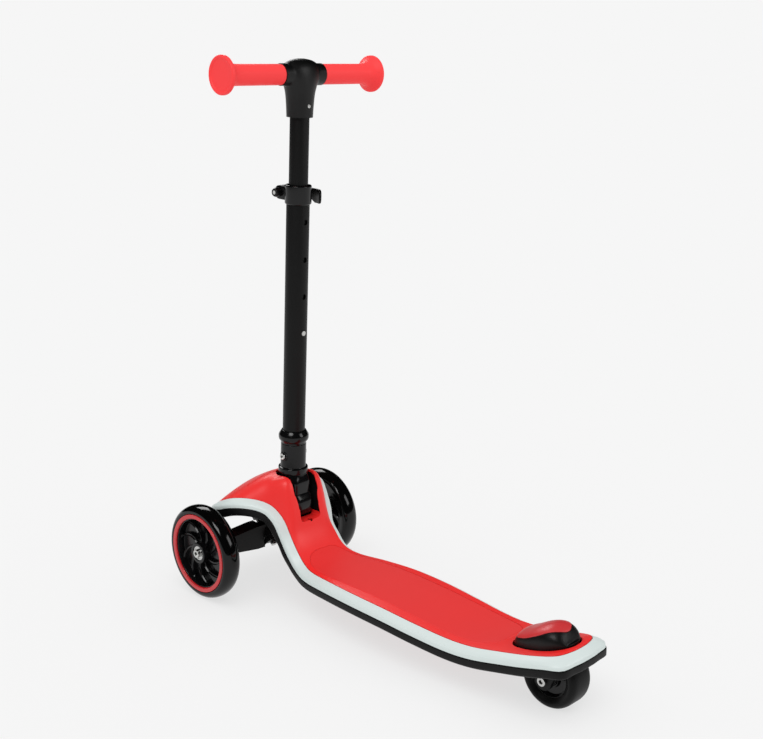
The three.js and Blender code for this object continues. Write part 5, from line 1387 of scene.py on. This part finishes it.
def tee_shape(name, s, bar):
    """The tee: a sleeve that swells into two arms, melted together, with crisp open ends."""

    def place(u, v):
        rise, wide, deep = blend_rows(TEE, (len(TEE) - 1) * v)
        angle = 2 * math.pi * u
        return (
            bar.tee * wide * math.cos(angle),
            s.ahead + bar.tee * deep * math.sin(angle),
            bar.tee_bottom - 0.006 * (v == 0) + (bar.tee_top - bar.tee_bottom) * rise,
        )

    tee = draped(name, 96, 80, place)
    middle_of_bar, past_arm = (0, s.ahead, bar.height), bar.arm_reach + 0.006
    combine(tee, rod("arms", bar.arm, -past_arm, past_arm, 96, RIGHT, middle_of_bar), "UNION")
    only(tee)
    melt = tee.modifiers.new("Melt", "REMESH")
    melt.mode = "VOXEL"
    melt.voxel_size = 0.0009
    bpy.ops.object.modifier_apply(modifier=melt.name)
    relax = tee.modifiers.new("Relax", "SMOOTH")
    relax.factor = 0.5
    relax.iterations = 30
    bpy.ops.object.modifier_apply(modifier=relax.name)
    with editing(tee):
        for co, no in (
            ((0, 0, bar.tee_bottom), (0, 0, -1)),
            ((bar.arm_reach, 0, 0), RIGHT),
            ((-bar.arm_reach, 0, 0), LEFT),
        ):
            bpy.ops.mesh.select_all(action="SELECT")
            bpy.ops.mesh.bisect(plane_co=co, plane_no=no, use_fill=True, clear_outer=True)
    low, high = bar.tee_bottom - 0.01, bar.height - bar.bar - 0.0018
    cut(tee, rod("bore", s.upper + GAP, low, high, 96, place=(0, s.ahead, 0)))
    cut(tee, rod("through", bar.bar + GAP, -0.06, 0.06, 96, RIGHT, middle_of_bar))
    return cut(tee, rod("screw_hole", bar.screw + GAP, 0, 0.05, 48, BACKWARD, (0, s.ahead, bar.screw_height)))


# Solids of the frame that keep their own shape, by finish
KEPT = {
    "steel": (
        *("fold_pin", "latch_pin", "kingpin", "kingpin_nut", "brake_pin", "rear_axle_nut", "stem_nut"),
        *("inner_bearing_left", "inner_bearing_right", "bearing_spacer_left", "bearing_spacer_right"),
        *("rear_spacer", "clamp_bolt", "clamp_lever_pin", "handlebar_tube"),
        *("deck_screw_1", "deck_screw_2", "deck_screw_3", "deck_screw_4"),
    ),
    "spring": ("latch_spring", "brake_spring", "snap_clip"),
    "dark": ("upper_bushing", "lower_bushing"),
    "base": ("truck", "guide_bush"),
    "gloss": ("latch_knob",),
}


class SCOOTER_OT_small_parts(bpy.types.Operator):
    """Paints the pins, springs, nuts and other small parts of the frame"""

    bl_idname = "scooter.small_parts"
    bl_label = "Small Parts"

    def execute(self, context):
        made = finishes()
        for finish, names in KEPT.items():
            for name in names:
                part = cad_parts[name]
                part.data.materials.clear()
                part.data.materials.append(getattr(made, finish))
        return {"FINISHED"}


# Soft boxes round the object: name, place, size and power
SOFT_BOXES = (
    ("key", (-1.6, -0.4, 2.2), (1.2, 1.0), 30),
    ("fill", (1.2, -2.2, 1.6), (1.0, 1.2), 16),
    ("rim", (0.8, 2.0, 1.8), (1.2, 0.8), 18),
)
# Camera, found from the stem's and the wheels' places in the photograph; its turn is yaw, pitch and roll
CAMERA_PLACE, CAMERA_TURN, CAMERA_LENS = (-1.16115, -1.12602, 0.80985), (45.407, 14.562, 0.34), 57.06


def hung(name, kind, power, place, way):
    """A lamp that hangs in a place and shines in a direction."""
    light = bpy.data.lights.new(name, kind)
    light.energy = power
    lamp = bpy.data.objects.new(name, light)
    bpy.context.scene.collection.objects.link(lamp)
    lamp.location = place
    lamp.rotation_euler = Vector(way).to_track_quat("-Z", "Y").to_euler()
    return lamp


class SCOOTER_OT_stage(bpy.types.Operator):
    """Sets up the pale floor, the soft studio light and the camera"""

    bl_idname = "scooter.stage"
    bl_label = "Stage"

    def execute(self, context):
        scene = context.scene
        deselect()
        bpy.ops.mesh.primitive_circle_add(vertices=64, radius=40, fill_type="NGON")
        floor = context.object
        floor.name = "floor"
        pale = moulded("floor_pale", scene.scooter_colours.floor, 0.9, 0.05, 40, 0.003, level=0.0)
        glow = pale.node_tree.nodes["Principled BSDF"]
        glow.inputs["Emission Color"].default_value = (1, 1, 1, 1)
        glow.inputs["Emission Strength"].default_value = 0.66
        floor.data.materials.append(pale)
        floor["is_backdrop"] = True
        world = bpy.data.worlds.new("Studio")
        scene.world = world
        world.use_nodes = True
        sky = world.node_tree.nodes["Background"]
        sky.inputs["Color"].default_value = (1, 1, 1, 1)
        sky.inputs["Strength"].default_value = 0.9216
        world.cycles_visibility.glossy = False
        sun = hung("overhead", "SUN", 0.85, (0, 0, 0), (0.35, 0.2, -1))
        sun.data.angle = math.radians(50)
        sun.visible_glossy = False
        aim = Vector((0, 0, 0.25))
        for name, place, size, power in SOFT_BOXES:
            lamp = hung(name, "AREA", power, place, aim - Vector(place))
            lamp.data.shape = "RECTANGLE"
            lamp.data.size, lamp.data.size_y = size
            lamp.visible_diffuse = False
        camera = bpy.data.objects.new("camera", bpy.data.cameras.new("camera"))
        scene.collection.objects.link(camera)
        scene.camera = camera
        camera.data.sensor_width = 36
        camera.data.lens = CAMERA_LENS
        yaw, pitch, roll = map(math.radians, CAMERA_TURN)
        look = Vector((math.sin(yaw) * math.cos(pitch), math.cos(yaw) * math.cos(pitch), -math.sin(pitch)))
        right = Vector((math.cos(yaw), -math.sin(yaw), 0))
        up = right.cross(look)
        tilted_right = math.cos(roll) * right + math.sin(roll) * up
        tilted_up = math.cos(roll) * up - math.sin(roll) * right
        camera.matrix_world = axes(tilted_right, tilted_up, -look, CAMERA_PLACE)
        scene.view_settings.view_transform = "Standard"
        return {"FINISHED"}


class SCOOTER_PT_panel(bpy.types.Panel):
    """Lists the steps that model the scooter"""

    bl_label = "Three Wheel Scooter"
    bl_idname = "SCOOTER_PT_panel"
    bl_space_type = "VIEW_3D"
    bl_region_type = "UI"
    bl_category = "Scooter"

    def draw(self, context):
        for step in STEPS:
            self.layout.operator(step.bl_idname)


GROUPS = {
    "scooter_deck": ScooterDeck,
    "scooter_wheels": ScooterWheels,
    "scooter_stem": ScooterStem,
    "scooter_bar": ScooterBar,
    "scooter_brake": ScooterBrake,
    "scooter_colours": ScooterColours,
}
STEPS = (
    SCOOTER_OT_cover,
    SCOOTER_OT_band,
    SCOOTER_OT_base,
    SCOOTER_OT_front_wheels,
    SCOOTER_OT_rear_wheel,
    SCOOTER_OT_brake,
    SCOOTER_OT_stem,
    SCOOTER_OT_clamp,
    SCOOTER_OT_handlebar,
    SCOOTER_OT_small_parts,
    SCOOTER_OT_stage,
)


def register():
    for group in GROUPS.values():
        bpy.utils.register_class(group)
    for name, group in GROUPS.items():
        setattr(bpy.types.Scene, name, PointerProperty(type=group))
    for step in (*STEPS, SCOOTER_PT_panel):
        bpy.utils.register_class(step)


def unregister():
    for step in (SCOOTER_PT_panel, *reversed(STEPS)):
        bpy.utils.unregister_class(step)
    for name in GROUPS:
        delattr(bpy.types.Scene, name)
    for group in reversed(list(GROUPS.values())):
        bpy.utils.unregister_class(group)


def main():
    register()
    for step in STEPS:
        family, name = step.bl_idname.split(".")
        getattr(getattr(bpy.ops, family), name)()
    plain = lambda box: [[float(value) for value in corner] for corner in box]
    {"cad": plain(CAD_BOX), "visual": plain(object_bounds())}


if __name__ == "__main__":
    main()
